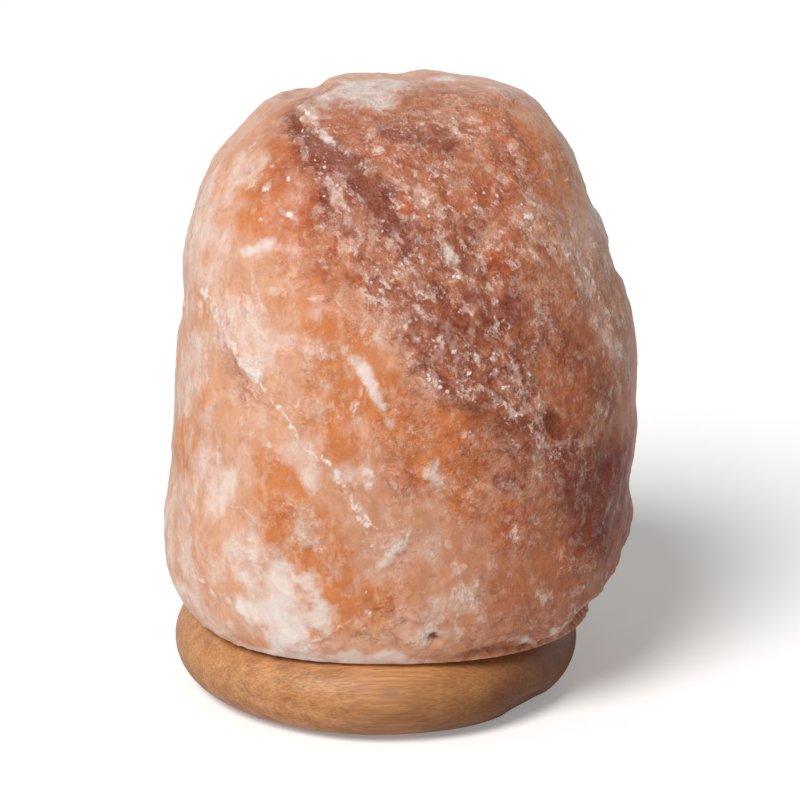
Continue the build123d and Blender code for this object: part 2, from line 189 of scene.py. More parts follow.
# Where each kind of salt shows: white frost, small frosted spots with a plain edge, haze, clear orange
# salt, and iron. The haze is partly painted light, on the upper right that faces away from the light and
# along the far left edge
FROST = marks(
    (372, 86, 22, 11, 5), (392, 100, 10, 9, 0, 0.9), (355, 98, 12, 7, -20, 0.8), (455, 79, 14, 4, -5, 0.8),
    (330, 95, 10, 5, 0, 0.5), (262, 592, 22, 14, -45, 0.5), (290, 608, 20, 16, -20),
    (318, 618, 16, 8, 15, 0.6), (240, 572, 10, 14, 80, 0.4), (283, 575, 7, 16, 75, 0.6),
    (250, 615, 20, 5, -38, 0.6), (284, 645, 13, 4, 88, 0.7), (300, 652, 6, 8, 90, 0.5),
    (268, 612, 8, 6, 0, 0.9), (300, 620, 10, 7, 10, 0.9), (280, 595, 6, 8, 0, 0.7),
    (168, 535, 30, 6, 90, 0.7), (178, 590, 16, 7, -60, 0.6), (195, 612, 14, 6, -40, 0.4),
    (612, 335, 28, 7, -62, 0.4), (617, 380, 12, 5, -80, 0.3), (256, 252, 11, 7, 20, 0.6),
    (267, 243, 4, 5, 60, 0.7), (343, 348, 8, 4, -20, 0.5), (358, 470, 9, 9, 0, 0.4),
    (392, 558, 14, 4, 50, 0.5), (553, 630, 5, 2.6, 75, 0.8), (565, 624, 4, 2, 20, 0.6),
    (527, 643, 6, 2.4, 15, 0.8), (388, 658, 16, 3, 0, 0.7), (430, 632, 7, 3.4, -35, 0.7),
    (450, 255, 7, 3, -62, 0.7), (313, 116, 9, 6, -60), (170, 470, 14, 4, 85, 0.4),
    (422, 640, 5, 3, 20, 0.4), (505, 128, 5, 5, 50, 0.3), (230, 342, 30, 4, -56, 0.4),
    (262, 388, 22, 4, -48, 0.4), (250, 369, 8, 4, -50, 0.6), (312, 453, 24, 4, -42, 0.35),
    (358, 512, 16, 4, -58, 0.35), (470, 262, 6, 4, -50, 0.4), (506, 385, 7, 5, 0, 0.4),
    (310, 650, 30, 4, -10, 0.4), (220, 640, 18, 4, -35, 0.4), (300, 655, 26, 5, -8, 0.7),
    (360, 659, 30, 4, -2, 0.5),
)
SNOW = marks(
    (360, 364, 8, 3.8, -40, 0.6), (367, 377, 9, 4.2, -58, 0.7), (374, 391, 9, 3.4, -62, 0.75),
    (381, 404, 6, 1.8, -60, 0.8), (350, 360, 6, 1.4, -20, 0.45), (353, 405, 3.4, 1.4, 70, 0.8),
    (330, 187, 9, 3, -62, 0.45), (340, 200, 6, 2.4, -60, 0.4), (352, 172, 6, 2, -40, 0.4),
    (264, 165, 5, 4, 30, 0.45), (266, 187, 3.4, 2.6, 60, 0.7), (240, 182, 7, 1.4, 15, 0.5),
    (251, 186, 4, 1.4, 20, 0.5), (287, 212, 5, 2.2, -20, 0.6), (293, 219, 3, 1.6, -40, 0.5),
    (258, 250, 7, 4, 20, 0.6), (298, 266, 4, 2, -60, 0.4), (326, 268, 2.4, 1.4, -50, 0.5),
    (273, 291, 5, 3.4, 0, 0.5), (342, 346, 6, 3, -30, 0.45), (255, 371, 5, 3, -50, 0.7),
    (269, 444, 2.4, 1.6, 0, 0.7), (298, 404, 3, 1.6, -40, 0.6), (296, 395, 2.4, 1.4, 20, 0.5),
    (369, 486, 2.6, 1.8, 0, 0.9), (403, 346, 3, 1.6, -60, 0.5), (378, 314, 2.6, 1.6, -50, 0.6),
    (384, 324, 2.4, 1.4, -40, 0.7), (418, 309, 4, 1.8, -40, 0.7), (416, 339, 3, 1.8, -60, 0.7),
    (407, 327, 2.6, 1.6, -40, 0.7), (358, 420, 2.4, 1.6, 40, 0.4), (389, 424, 2.4, 4, 20, 0.5),
    (310, 278, 3, 1.4, -60, 0.4), (281, 246, 3, 1.4, -50, 0.35), (303, 232, 3, 1.4, -50, 0.35),
    (222, 212, 5, 1.6, 60, 0.4), (215, 165, 5, 1.6, 50, 0.4), (228, 268, 4, 1.6, 70, 0.35),
    (221, 290, 1.4, 4, 10, 0.4), (229, 296, 1.3, 4, 10, 0.4), (270, 310, 1.3, 3.4, 10, 0.35),
    (600, 318, 28, 5, -64, 0.3), (610, 350, 18, 5, -75, 0.3), (545, 444, 5, 2, -50, 0.6),
    (538, 434, 3, 1.6, -50, 0.6), (424, 476, 3, 1.6, -60, 0.5), (446, 479, 3, 1.4, -30, 0.5),
    (265, 243, 4, 3, 40, 0.6), (248, 252, 5, 2.2, 10, 0.6), (390, 658, 10, 2.2, 2, 0.8),
    (553, 632, 4, 2.4, 70, 0.8), (564, 624, 3.4, 1.8, 20, 0.7), (527, 643, 5, 2, 15, 0.8),
    (429, 634, 4, 2.2, -40, 0.7), (238, 302, 1.4, 4, 5, 0.5), (249, 303, 1.4, 4.4, 8, 0.5),
    (261, 302, 1.4, 4, 5, 0.45), (320, 302, 8, 1.6, -10, 0.35), (338, 312, 6, 1.4, -55, 0.35),
    (452, 252, 7, 2.2, -60, 0.8), (440, 236, 4, 1.8, -60, 0.6), (325, 137, 5, 2.2, -45, 0.8),
    (312, 117, 5, 3, -60, 0.9), (302, 108, 3, 2, -30, 0.8), (343, 175, 4, 1.6, -40, 0.5),
    (333, 204, 5, 2.4, -60, 0.5), (418, 187, 6, 1.8, -45, 0.5), (200, 305, 2.6, 1.4, -60, 0.6),
    (283, 641, 2, 6, 5, 0.7), (398, 549, 8, 2.6, 42, 0.7), (384, 563, 5, 2.2, 48, 0.7),
    (408, 534, 4, 1.8, 60, 0.5), (466, 548, 2, 6, 5, 0.4), (433, 488, 1.6, 5, 10, 0.4),
    (368, 614, 3, 1.2, -50, 0.6), (435, 470, 9, 1.8, 74, 0.6), (365, 472, 4, 2.4, 0, 0.6),
    (372, 476, 2, 1.6, 0, 0.9), (612, 300, 10, 1.6, -62, 0.35), (590, 292, 8, 1.4, -62, 0.35),
    (470, 268, 4, 3.4, -50, 0.5),
)
# Hazy salt, and painted light on the upper right, which faces away from the light, and along the far left
# edge
HAZE_AND_PAINTED_LIGHT = marks(
    (603, 265, 22, 10, -65, 0.5), (618, 330, 26, 8, -75, 0.7), (600, 350, 20, 8, -70, 0.4),
    (230, 575, 16, 10, 60, 0.6), (210, 640, 20, 8, -40, 0.5), (390, 250, 26, 12, -55, 0.35),
    (425, 290, 22, 10, -50, 0.3), (410, 195, 22, 7, -45, 0.5), (350, 148, 14, 5, -35, 0.6),
    (330, 205, 12, 5, -60, 0.4), (505, 382, 14, 8, -30, 0.5), (540, 215, 26, 18, -60, 0.3),
    (480, 600, 14, 9, 0, 0.5), (440, 590, 18, 12, 80, 0.6), (470, 555, 14, 9, 80, 0.5),
    (540, 530, 20, 12, -20, 0.35), (468, 270, 8, 8, 0, 0.5), (470, 410, 12, 6, -30, 0.45),
    (540, 418, 9, 8, -50, 0.5), (540, 235, 20, 14, -70, 0.4), (345, 600, 10, 6, 0, 0.2),
    (574, 616, 12, 8, 40, 0.6), (185, 410, 60, 8, 88, 0.6), (180, 560, 30, 10, -75, 0.6),
    (540, 300, 20, 12, -80, 0.3), (600, 230, 30, 10, -65, 0.7), (615, 300, 30, 9, -72, 0.6),
    (190, 250, 30, 8, 80, 0.5), (315, 620, 20, 8, 0, 0.4), (470, 150, 16, 8, -30, 0.15),
    (215, 225, 30, 15, 65, 0.75), (215, 300, 24, 9, 85, 0.35), (245, 335, 26, 14, -60, 0.7),
    (285, 350, 24, 12, -70, 0.5), (215, 485, 18, 14, -75, 0.9), (325, 345, 16, 10, 0, 0.3),
    (300, 465, 20, 9, -50, 0.8), (355, 470, 12, 12, 0, 0.8), (235, 545, 26, 12, 0, 0.25),
    (300, 530, 22, 12, 0, 0.3), (205, 375, 20, 9, 80, 0.5), (540, 390, 12, 10, 0, 0.5),
    (585, 245, 22, 12, -60, 0.6), (590, 300, 22, 9, -70, 0.5), (465, 600, 12, 7, 85, 0.6),
    (435, 535, 12, 8, 70, 0.6), (245, 165, 24, 12, 50, 0.35), (400, 85, 20, 6, 0, 0.6),
    (470, 90, 26, 7, -5, 0.5), (300, 95, 14, 7, 20, 0.5), (540, 605, 18, 7, 40, 0.5),
    (600, 575, 12, 8, 60, 0.5), (420, 640, 26, 6, 5, 0.5), (250, 655, 22, 6, -30, 0.5),
    (435, 470, 5, 12, 0, 0.6), (610, 420, 14, 10, 80, 0.5), (500, 140, 18, 9, -10, 0.15),
    (375, 545, 14, 9, 50, 0.4), (345, 600, 14, 6, 0, 0.3), (445, 470, 9, 5, 60, 0.4),
    (250, 430, 14, 7, -70, 0.4), (380, 330, 12, 6, -40, 0.4), (325, 400, 12, 7, -60, 0.4),
    (550, 210, 14, 7, -50, 0.2),
)
CLEAR = marks(
    (530, 140, 26, 14, -40, 0.6), (560, 210, 26, 12, -60, 0.7), (500, 175, 16, 10, -30, 0.5),
    (298, 170, 26, 12, -75, 0.8), (305, 225, 34, 18, -68, 0.9), (325, 285, 32, 22, -62),
    (345, 390, 26, 18, -80, 0.8), (395, 395, 20, 13, -60, 0.8), (375, 440, 26, 18, -30, 0.7),
    (275, 490, 18, 15, 80), (285, 535, 26, 17, 0, 0.8), (320, 570, 22, 16, -60, 0.7),
    (355, 612, 24, 14, 0, 0.8), (190, 430, 26, 10, 85, 0.7), (190, 330, 22, 9, 80, 0.4),
    (455, 430, 22, 13, -35, 0.8), (450, 495, 22, 14, -20, 0.5), (510, 520, 18, 12, -10, 0.5),
    (240, 400, 16, 12, 60, 0.5), (255, 205, 14, 8, 60, 0.5), (570, 175, 22, 9, -60, 0.5),
    (540, 170, 16, 14, 0, 0.6), (455, 115, 14, 8, 0, 0.4), (255, 650, 18, 7, -30, 0.5),
    (400, 590, 16, 12, 0, 0.5), (500, 250, 16, 9, -60, 0.6), (300, 315, 18, 9, -50, 0.6),
    (430, 580, 14, 10, 0, 0.3), (415, 225, 14, 6, -60, 0.5), (360, 320, 16, 8, -60, 0.5),
)
RUST = marks(
    (603, 497, 30, 18, 80), (557, 428, 9, 5, -50), (560, 375, 26, 16, -80, 0.25), (370, 185, 22, 10, -50),
    (320, 150, 14, 7, -45, 0.8), (440, 270, 22, 10, -50, 0.3), (500, 330, 26, 12, -40, 0.4),
    (480, 300, 24, 12, 0, 0.4), (455, 220, 20, 10, -50, 0.4), (440, 378, 14, 8, -50, 0.6),
    (470, 372, 12, 8, -30, 0.4), (505, 482, 16, 9, -20, 0.5), (415, 530, 18, 12, 0, 0.3),
    (420, 272, 20, 10, -50, 0.45), (470, 238, 12, 10, -50, 0.5), (614, 520, 24, 16, 82, 0.9),
    (297, 128, 7, 5, -70), (294, 120, 4, 3, 0, 0.9), (320, 152, 14, 6, -40, 0.7),
    (343, 170, 12, 6, -35, 0.7), (372, 198, 18, 8, -55, 0.9), (392, 222, 14, 6, -60, 0.9),
    (330, 178, 22, 7, -55, 0.5), (326, 205, 8, 2.6, -60, 0.8), (418, 238, 9, 7, -60, 0.5),
    (470, 270, 14, 9, -30, 0.4), (485, 310, 22, 10, 10, 0.6), (470, 335, 18, 8, -30, 0.5),
    (550, 345, 22, 13, -80, 0.5), (590, 488, 16, 11, 65, 0.9), (612, 470, 18, 8, 85, 0.8),
    (600, 520, 16, 9, 60, 0.7), (385, 135, 12, 7, -20, 0.3), (460, 405, 18, 7, -35, 0.5),
    (500, 480, 18, 6, -20, 0.35), (545, 410, 10, 5, -50, 0.3), (345, 238, 5, 2.5, 20, 0.5),
    (430, 360, 14, 7, -50, 0.5), (505, 415, 18, 6, -30, 0.5), (275, 122, 7, 5, 60, 0.3),
    (440, 190, 12, 8, -50, 0.4), (500, 215, 9, 7, 0, 0.3), (350, 250, 16, 5, -55, 0.5),
    (375, 290, 16, 5, -55, 0.4), (520, 300, 20, 8, -70, 0.5), (570, 400, 18, 8, -80, 0.3),
    (500, 350, 20, 8, -50, 0.4), (540, 500, 16, 8, -30, 0.4), (400, 330, 14, 6, -50, 0.4),
    (612, 560, 10, 6, 80, 0.4), (590, 590, 10, 5, 50, 0.4),
)
# Small stained spots with a plain edge
STAINS = marks(
    (557, 427, 10, 5.4, -53), (372, 196, 16, 5, -55, 0.85), (392, 218, 10, 4, -60, 0.8),
    (345, 160, 12, 4, -40, 0.7), (319, 149, 13, 5, -45, 0.85), (326, 203, 7, 2.2, -62, 0.8),
    (296, 123, 6, 3, -70, 0.9), (590, 470, 9, 4, 70, 0.5), (470, 270, 8, 4, -40, 0.6),
    (495, 310, 12, 5, -10, 0.5), (450, 222, 8, 4, -50, 0.5), (418, 238, 6, 4, -60, 0.5),
    (545, 335, 12, 5, -80, 0.5), (572, 370, 10, 4, -80, 0.4), (485, 345, 9, 3, -20, 0.5),
    (470, 405, 12, 3.4, -30, 0.6), (450, 390, 7, 2.4, -40, 0.5), (505, 425, 9, 3.4, -30, 0.5),
    (480, 455, 8, 3, -30, 0.5), (435, 345, 7, 2.4, -50, 0.5), (530, 475, 9, 2.4, -20, 0.4),
    (400, 640, 3, 2, 0, 0.5), (434, 640, 3.2, 2, -20, 0.9), (495, 240, 7, 3, -60, 0.4),
    (525, 270, 8, 3, -70, 0.4), (480, 190, 7, 3, -30, 0.4),
)
# Smoky brown salt, the gritty band, and white chips, some of which are painted glints
SMOKE = marks(
    (318, 150, 22, 10, -60, 0.45), (335, 205, 26, 8, -60, 0.6), (385, 265, 32, 18, -55, 0.45),
    (422, 322, 34, 20, -52, 0.55), (462, 372, 34, 22, -45, 0.75), (512, 422, 36, 22, -38, 0.7),
    (562, 462, 30, 20, -30, 0.7), (604, 492, 26, 18, 80), (585, 350, 30, 13, -75, 0.6),
    (395, 130, 22, 9, -20, 0.6), (440, 145, 18, 8, -10, 0.6), (590, 560, 18, 12, 60, 0.5),
    (520, 350, 24, 12, -60, 0.5), (505, 240, 22, 10, -60, 0.3), (612, 400, 26, 9, -85, 0.7),
    (300, 110, 9, 5, 30, 0.5), (365, 165, 14, 6, -40, 0.5),
)
GRIT = marks(
    (318, 122, 14, 8, -55), (350, 140, 18, 10, -35, 0.9), (330, 190, 16, 7, -60), (345, 230, 18, 9, -60),
    (395, 165, 18, 9, -25, 0.8), (400, 190, 16, 8, -30, 0.9), (415, 215, 22, 9, -45),
    (385, 260, 24, 14, -50), (420, 290, 26, 14, -45), (450, 250, 12, 7, -60, 0.9),
    (470, 280, 14, 8, -40, 0.9), (440, 330, 22, 12, -40, 0.9), (470, 395, 16, 7, -20), (505, 375, 10, 9, 0),
    (500, 400, 22, 8, -25, 0.9), (520, 220, 24, 10, -70, 0.6), (490, 200, 16, 9, -20, 0.8),
    (470, 125, 22, 7, -10, 0.7), (540, 430, 14, 9, -40, 0.9), (280, 515, 12, 7, 20, 0.7),
    (560, 250, 14, 6, -60, 0.6), (250, 372, 16, 5, -50), (230, 345, 10, 4, -62, 0.8),
    (420, 355, 14, 7, -60, 0.8), (390, 600, 12, 10, 70, 0.6), (530, 635, 16, 6, 10, 0.7),
    (545, 470, 18, 9, -10, 0.5), (600, 300, 14, 5, -60, 0.5), (360, 640, 16, 5, 0, 0.6),
    (310, 375, 10, 6, -60, 0.6), (430, 100, 24, 5, 0, 0.8), (565, 155, 16, 5, -50, 0.6),
    (470, 320, 12, 8, -30, 0.8), (510, 200, 44, 30, -60, 0.35), (470, 130, 40, 16, -10, 0.35),
    (455, 455, 34, 20, -30, 0.45), (400, 150, 24, 16, -40, 0.6), (540, 280, 40, 16, -70, 0.4),
    (345, 215, 24, 8, -60, 0.6),
)
BAND_TILT = -50      # the rough band's slope in the picture, in degrees
CHIPS_AND_PAINTED_GLINTS = marks(
    (237, 353, 5, 1.8, -50, 0.7), (248, 368, 7, 2.6, -50, 0.8), (257, 380, 5, 2, -45, 0.7),
    (184, 303, 2.6, 1.4, -60), (200, 581, 2.6, 2, 0), (282, 503, 2.4, 1.8, 0, 0.8),
    (320, 549, 1.8, 1.8, 0, 0.8), (252, 541, 4, 1.4, 0, 0.9), (497, 196, 1.6, 2.4, 0),
    (533, 206, 1.8, 1.6, 0), (527, 217, 2.6, 2.2, 0), (569, 254, 1.6, 2.2, -40),
    (441, 106, 1.6, 1.6, 0, 0.9), (505, 387, 2.4, 1.8, 0, 0.9), (468, 373, 2, 2, 60, 0.9),
    (499, 403, 2.2, 1.8, 0, 0.8), (453, 352, 3, 2, 60, 0.8), (290, 214, 3, 1.6, -60, 0.9),
    (262, 221, 1.6, 1.8, 0, 0.9), (266, 190, 2, 1.8, 60, 0.9), (271, 167, 1.6, 1.8, 0, 0.8),
    (289, 180, 1.6, 3, 20, 0.6), (372, 545, 3, 1.4, 0, 0.7), (393, 545, 2.4, 1.4, -40, 0.8),
    (367, 590, 2.4, 1, 30, 0.9), (371, 615, 3, 1, -55, 0.9), (409, 106, 1.4, 1.4, 0, 0.8),
    (463, 305, 2, 2, 40, 0.8), (418, 320, 3, 1.6, -50, 0.8), (530, 373, 2.4, 1.2, 0, 0.7),
    (585, 545, 2, 1, -40, 0.6), (307, 112, 3, 2, -40, 0.9), (316, 121, 3, 2.4, -60, 0.9),
    (310, 130, 2, 1.4, -40, 0.8), (472, 284, 2.4, 1.6, 0, 0.7), (478, 268, 2, 1.4, 40, 0.7),
    (459, 276, 2, 1.4, -30, 0.8), (382, 232, 2, 1.2, -30, 0.6), (430, 112, 2, 1.2, 20, 0.7),
    (515, 392, 2, 1.6, 0, 0.7), (492, 392, 1.6, 1.4, 0, 0.8), (512, 378, 1.6, 1.4, 0, 0.7),
    (244, 362, 3, 2, -30, 0.9), (253, 374, 3, 1.6, -60, 0.9), (428, 372, 2.4, 1.6, -40, 0.6),
    (547, 224, 1.6, 1.4, 0, 0.8), (567, 179, 1.4, 1.6, 0, 0.8), (560, 196, 1.4, 1.2, 0, 0.6),
)
# Broad parts where the rock is darker: partly darker salt along the band, partly painted shade on the right
# side turned from the light, along its right edges and at its foot above the wood
DARK_SALT_AND_PAINTED_SHADE = marks(
    (375, 180, 46, 24, -48, 0.75), (430, 240, 50, 30, -50, 0.5), (470, 330, 50, 30, -45, 0.55),
    (560, 360, 50, 34, -80, 0.7), (600, 380, 46, 26, -80, 0.7), (550, 430, 46, 34, -30, 0.45),
    (592, 468, 16, 14, 80, 0.7), (545, 585, 30, 20, 20, 0.5), (615, 305, 22, 8, -72, 0.5),
    (560, 340, 26, 16, -80, 0.4), (395, 150, 26, 18, -30, 0.6), (510, 175, 34, 20, -50, 0.35),
    (560, 570, 40, 28, 30, 0.5), (500, 652, 30, 5, 8, 0.7), (555, 632, 16, 5, 25, 0.5),
    (622, 510, 34, 20, 86, 0.9), (618, 578, 20, 12, 70, 0.9), (285, 210, 30, 12, -70, 0.3),
    (318, 93, 18, 8, 10, 0.5), (505, 412, 16, 10, -30, 0.4), (415, 272, 22, 10, -50, 0.4),
    (470, 375, 16, 12, -30, 0.4), (505, 235, 18, 12, -60, 0.6), (614, 272, 26, 14, -70),
    (400, 485, 14, 12, 0, 0.5), (610, 585, 16, 12, 60, 0.6), (330, 96, 12, 6, 0, 0.4),
    (595, 500, 46, 32, 80), (550, 530, 40, 30, 0, 0.4), (595, 570, 34, 20, 60, 0.8),
    (470, 170, 44, 26, -30, 0.4), (430, 120, 50, 12, -5, 0.4), (500, 270, 40, 24, -60, 0.4),
    (320, 130, 26, 16, -50, 0.6), (490, 410, 40, 24, -40, 0.15), (540, 610, 26, 14, 20, 0.2),
    (310, 200, 30, 10, -68, 0.5), (505, 585, 34, 26, 0, 0.35), (440, 90, 60, 10, -5, 0.4),
    (612, 530, 34, 26, 80, 0.9), (440, 172, 28, 18, -30, 0.7), (578, 390, 36, 18, -80, 0.8),
    (395, 545, 26, 34, -80, 0.25), (305, 240, 34, 9, -68, 0.4), (610, 465, 30, 20, 80, 0.6),
)
# Small holes washed into the rock
PITS = marks(
    (557, 428, 9.5, 6.0, -52, -1.2), (530, 401, 5.0, 2.6, -30, -0.9), (434, 641, 3.4, 2.4, -20, -2.2),
    (297, 127, 5, 4, -60, -1.2), (282, 503, 1.6, 1.2, 0, -0.6), (606, 470, 6, 3, 70, -0.8),
)
# Hollows and rises that change the outline or catch the light, by height in millimetres
RELIEF = marks(
    (306, 84, 13, 10, 40, -2.0), (333, 85, 8, 8, 0, 0.6), (297, 128, 5, 4, -60, -1.4),
    (373, 385, 10, 3, -62, 0.5), (248, 368, 10, 3, -50, 0.5), (326, 200, 6, 2.4, -60, -1.0),
    (360, 514, 9, 2, -58, 0.4), (318, 458, 12, 2, -42, 0.35), (240, 605, 26, 4, -32, 0.5),
    (500, 95, 10, 6, 0, 0.5), (570, 160, 14, 5, -55, 0.5), (600, 612, 10, 8, 30, -2.4),
    (584, 632, 10, 8, 30, -2.6), (616, 590, 10, 7, 60, -1.6), (628, 560, 10, 6, 70, -1.0),
    (634, 480, 12, 6, 85, -0.8), (618, 258, 10, 7, -60, -0.9), (596, 196, 10, 7, -50, -0.9),
    (182, 300, 14, 8, 85, -0.7), (172, 470, 14, 8, 80, -0.8), (190, 215, 14, 8, 70, -0.7),
    (243, 128, 16, 8, 50, -0.9), (402, 72, 10, 8, 0, -0.6), (496, 654, 20, 4, 8, -1.6),
    (545, 640, 8, 4, 20, -1.0), (545, 420, 4, 8, 70, 0.15), (346, 178, 24, 4, -40, -0.7),
    (398, 270, 30, 8, -50, 0.6), (300, 250, 30, 10, -60, -0.4), (470, 240, 24, 6, -65, -0.6),
)
# The wooden base: where shade is painted on it, on its right side, under the crystal's foot and along its
# lower edge; where it is smudged with grey; and where it is dented
PAINTED_SHADE_ON_WOOD = marks(
    (475, 708, 42, 14, 12, 0.2), (530, 685, 40, 24, 30, 0.85), (562, 650, 34, 26, 60, 0.8),
    (420, 722, 40, 6, 4, 0.4), (200, 700, 20, 6, -30, 0.3), (575, 630, 30, 20, 60),
    (440, 700, 22, 10, 10, 0.25), (510, 720, 30, 10, 20, 0.8),
)
SMUDGES = marks(
    (392, 694, 5, 2.4, 0, 0.4), (208, 641, 6, 1.6, -30, 0.3), (309, 673, 1, 0.9, 0, 0.9),
    (304, 687, 0.9, 0.9, 0, 0.8), (352, 705, 5, 0.9, 2, 0.3), (245, 690, 6, 0.9, -20, 0.3),
)
DENTS = marks(
    (525, 704, 12, 5, 25, -0.9), (215, 655, 9, 5, -30, -0.3), (395, 695, 9, 4, 0, -0.25),
    (470, 722, 16, 5, 10, 0.2),
)


class Line(NamedTuple):
    """A thin bright crack or vein: the pixels it passes through in the picture, and its real width."""

    path: tuple
    width: float      # millimetres
    amount: float = 1.0


LINES = (
    Line(((203, 290), (212, 306), (218, 321), (227, 338), (238, 354), (250, 370), (258, 379)), 1.7),
    Line(((258, 379), (266, 391), (272, 401), (283, 411), (291, 424), (299, 440), (307, 449), (320, 458)),
         0.9),
    Line(((320, 458), (331, 466), (340, 480), (347, 494), (354, 505), (361, 517), (366, 527)), 1.3),
    Line(((360, 503), (365, 515), (374, 527)), 0.9), Line(((333, 474), (345, 489), (352, 496)), 0.8, 0.8),
    Line(((232, 506), (243, 509), (254, 516), (262, 527)), 0.6, 0.35),
    Line(((308, 300), (320, 297), (335, 300), (345, 309), (350, 318)), 0.7, 0.35),
    Line(((270, 290), (278, 284), (285, 290), (283, 300)), 1.0, 0.35),
    Line(((237, 296), (240, 314)), 1.2, 0.4), Line(((247, 296), (251, 314)), 1.2, 0.4),
    Line(((259, 295), (263, 312)), 1.2, 0.4),
    Line(((225, 596), (243, 612), (262, 628), (283, 634)), 1.2, 0.6),
    Line(((283, 634), (300, 641), (322, 636), (344, 624)), 1.0, 0.6),
    Line(((283, 634), (285, 650)), 1.6, 0.6), Line(((318, 127), (328, 138), (340, 149)), 2.2, 0.7),
    Line(((440, 238), (447, 250), (454, 266)), 1.8, 0.6), Line(((597, 244), (599, 258)), 0.8, 0.6),
    Line(((603, 345), (604, 358)), 0.8, 0.6),
    Line(((404, 536), (395, 548), (383, 560), (372, 572)), 2.0, 0.5),
    Line(((540, 395), (537, 412)), 0.9, 0.6), Line(((533, 433), (541, 448)), 1.0, 0.8),
    Line(((355, 412), (360, 396), (358, 384)), 1.0, 0.6), Line(((180, 540), (186, 556)), 0.8, 0.6),
    Line(((210, 585), (216, 604)), 0.9, 0.6),
)

# ---------------------------------------------------------------- sizes of the carving
# What each vertex of the rock keeps for the material to read
ROCK_STORES = (
    "clear", "haze_and_painted_light", "smoke", "rust", "dark_salt_and_painted_shade", "frost", "grit", "chip", "spot", "line_side", "line",
)
LINE_REACH = 3 * MM       # how far from a line its own side is told apart
FACED = (0.0, 0.15)       # how squarely the skin faces the camera where lines begin and are full
MARK_DEPTH = 26 * MM      # how far a mark reaches along the line of sight
MISTY, SOFT, EVEN, FIRM, CRISP = 0.9, 1.2, 1.5, 2.2, 4.0      # how steeply a mark falls off round its edge

# Where the rock's skin may move: clear of its cavity, its plug holes and its flat foot
WALL = (30 * MM, 33 * MM)                       # from the middle
ROOF = (92 * MM, 96 * MM)                       # above the foot
PLUG_RADIUS, PLUG_HEIGHT = 46 * MM, 32 * MM     # the holes lie nearer to the middle, and lower
FLAT_TURN, FLAT_HEIGHT = 0.7, 2 * MM            # the foot faces more down or up, and lies lower
FOOT_EDGE = 2.5 * MM                            # how high the rock's broken lower edge is
CHIP_RISE, VEIN_RISE = 0.25 * MM, 0.3 * MM      # how proud the chips and the vein stand
STRAYS = ((20, 6, 11), (9, 2.4, 23), (3, 0.5, 37))      # how marks' edges stray: wave and reach in mm, seed
TURNED_AWAY = (-0.05, 0.4)      # how far the skin faces away from the camera where drifts begin and are full
RIM = (50 * MM, 54 * MM)                        # where the base's rim begins, from the middle

# Noise: how much fainter and finer each octave is, where a seed moves it, and how far it can be stretched
NOISE_FALL, NOISE_STEP = 0.8, 2.1
SEED_STEPS = (1, 0.7, -1.3)
STRETCH = 0.72            # the share of the way along a line that stretched noise leaves out
DIMPLE = (0.1, 0.5)       # a dimple's floor and its rim, in shares of its wavelength
GRAIN_STRETCH = 1.6       # how much longer the salt's grain is than wide
BETWEEN_STAINS = (1.25, 1.22, 1.2, 1)           # what the salt between the fine stains is multiplied by
PLANK_TURN = math.radians(4)                    # how far the wood's grain is turned from straight across
NAP_SHARE = 2.2           # how many times as bright as the felt its nap is
WIRE_SIDES = 5            # faces round the filament's wire
FLOOR_REACH = 6           # metres of floor on each side


# ---------------------------------------------------------------- shaping
def mark_share(points, rows, surface, edge):
    """How strongly a set of marks covers each point, from 0 to 1, and the plain sum of their amounts."""
    axes = np.array(camera_axes())
    bare = np.ones(len(points))
    total = np.zeros(len(points))
    for mark in rows:
        ray = picture_ray(mark.x, mark.y)
        hit = surface.ray_cast(camera_place(), ray)[0]
        hit = hit or surface.find_nearest(camera_place() + ray * CAMERA_DISTANCE)[0]
        across, rise, deep = ((points - np.array(hit)) @ axes.T).T
        tilt = math.radians(mark.tilt)
        along = across * math.cos(tilt) + rise * math.sin(tilt)
        aside = rise * math.cos(tilt) - across * math.sin(tilt)
        reach = (2 * along / (mark.length * MM)) ** 2 + (2 * aside / (mark.width * MM)) ** 2
        reach += (deep / MARK_DEPTH) ** 2
        share = mark.amount * np.exp(-math.log(2) * reach ** edge)
        bare *= 1 - np.clip(share, 0, 1)
        total += share
    return 1 - bare, total


def picture_place(points):
    """Where points show in the picture, in pixels."""
    across, rise, deep = ((points - np.array(camera_place())) @ np.array(camera_axes()).T).T
    scale = LENS / SENSOR * PICTURE / deep
    return np.stack([PICTURE / 2 + across * scale, PICTURE / 2 - rise * scale], 1)


def line_share(points, normals, lines):
    """Sideways distance to the nearest line, in half widths of that line, and how strongly it shows."""
    shown = picture_place(points)
    pixel = CAMERA_DISTANCE * SENSOR / LENS / PICTURE
    nearest = np.full(len(points), np.inf)
    side, share = np.zeros(len(points)), np.zeros(len(points))
    for line in lines:
        for start, end in zip(np.array(line.path, float), np.array(line.path[1:], float)):
            run = end - start
            part = np.clip((shown - start) @ run / (run @ run), 0, 1)
            gap = (shown - start - part[:, None] * run) * pixel
            distance = np.hypot(gap[:, 0], gap[:, 1])
            near = distance < nearest
            nearest[near] = distance[near]
            turn = np.sign(run[0] * gap[:, 1] - run[1] * gap[:, 0])
            side[near] = (distance * turn / (line.width * MM / 2))[near]
            share[near] = (line.amount * np.exp(-(distance / LINE_REACH) ** 2))[near]
    facing = smoothstep(*FACED, -(normals @ np.array(camera_axes()[2])))
    return side, share * facing


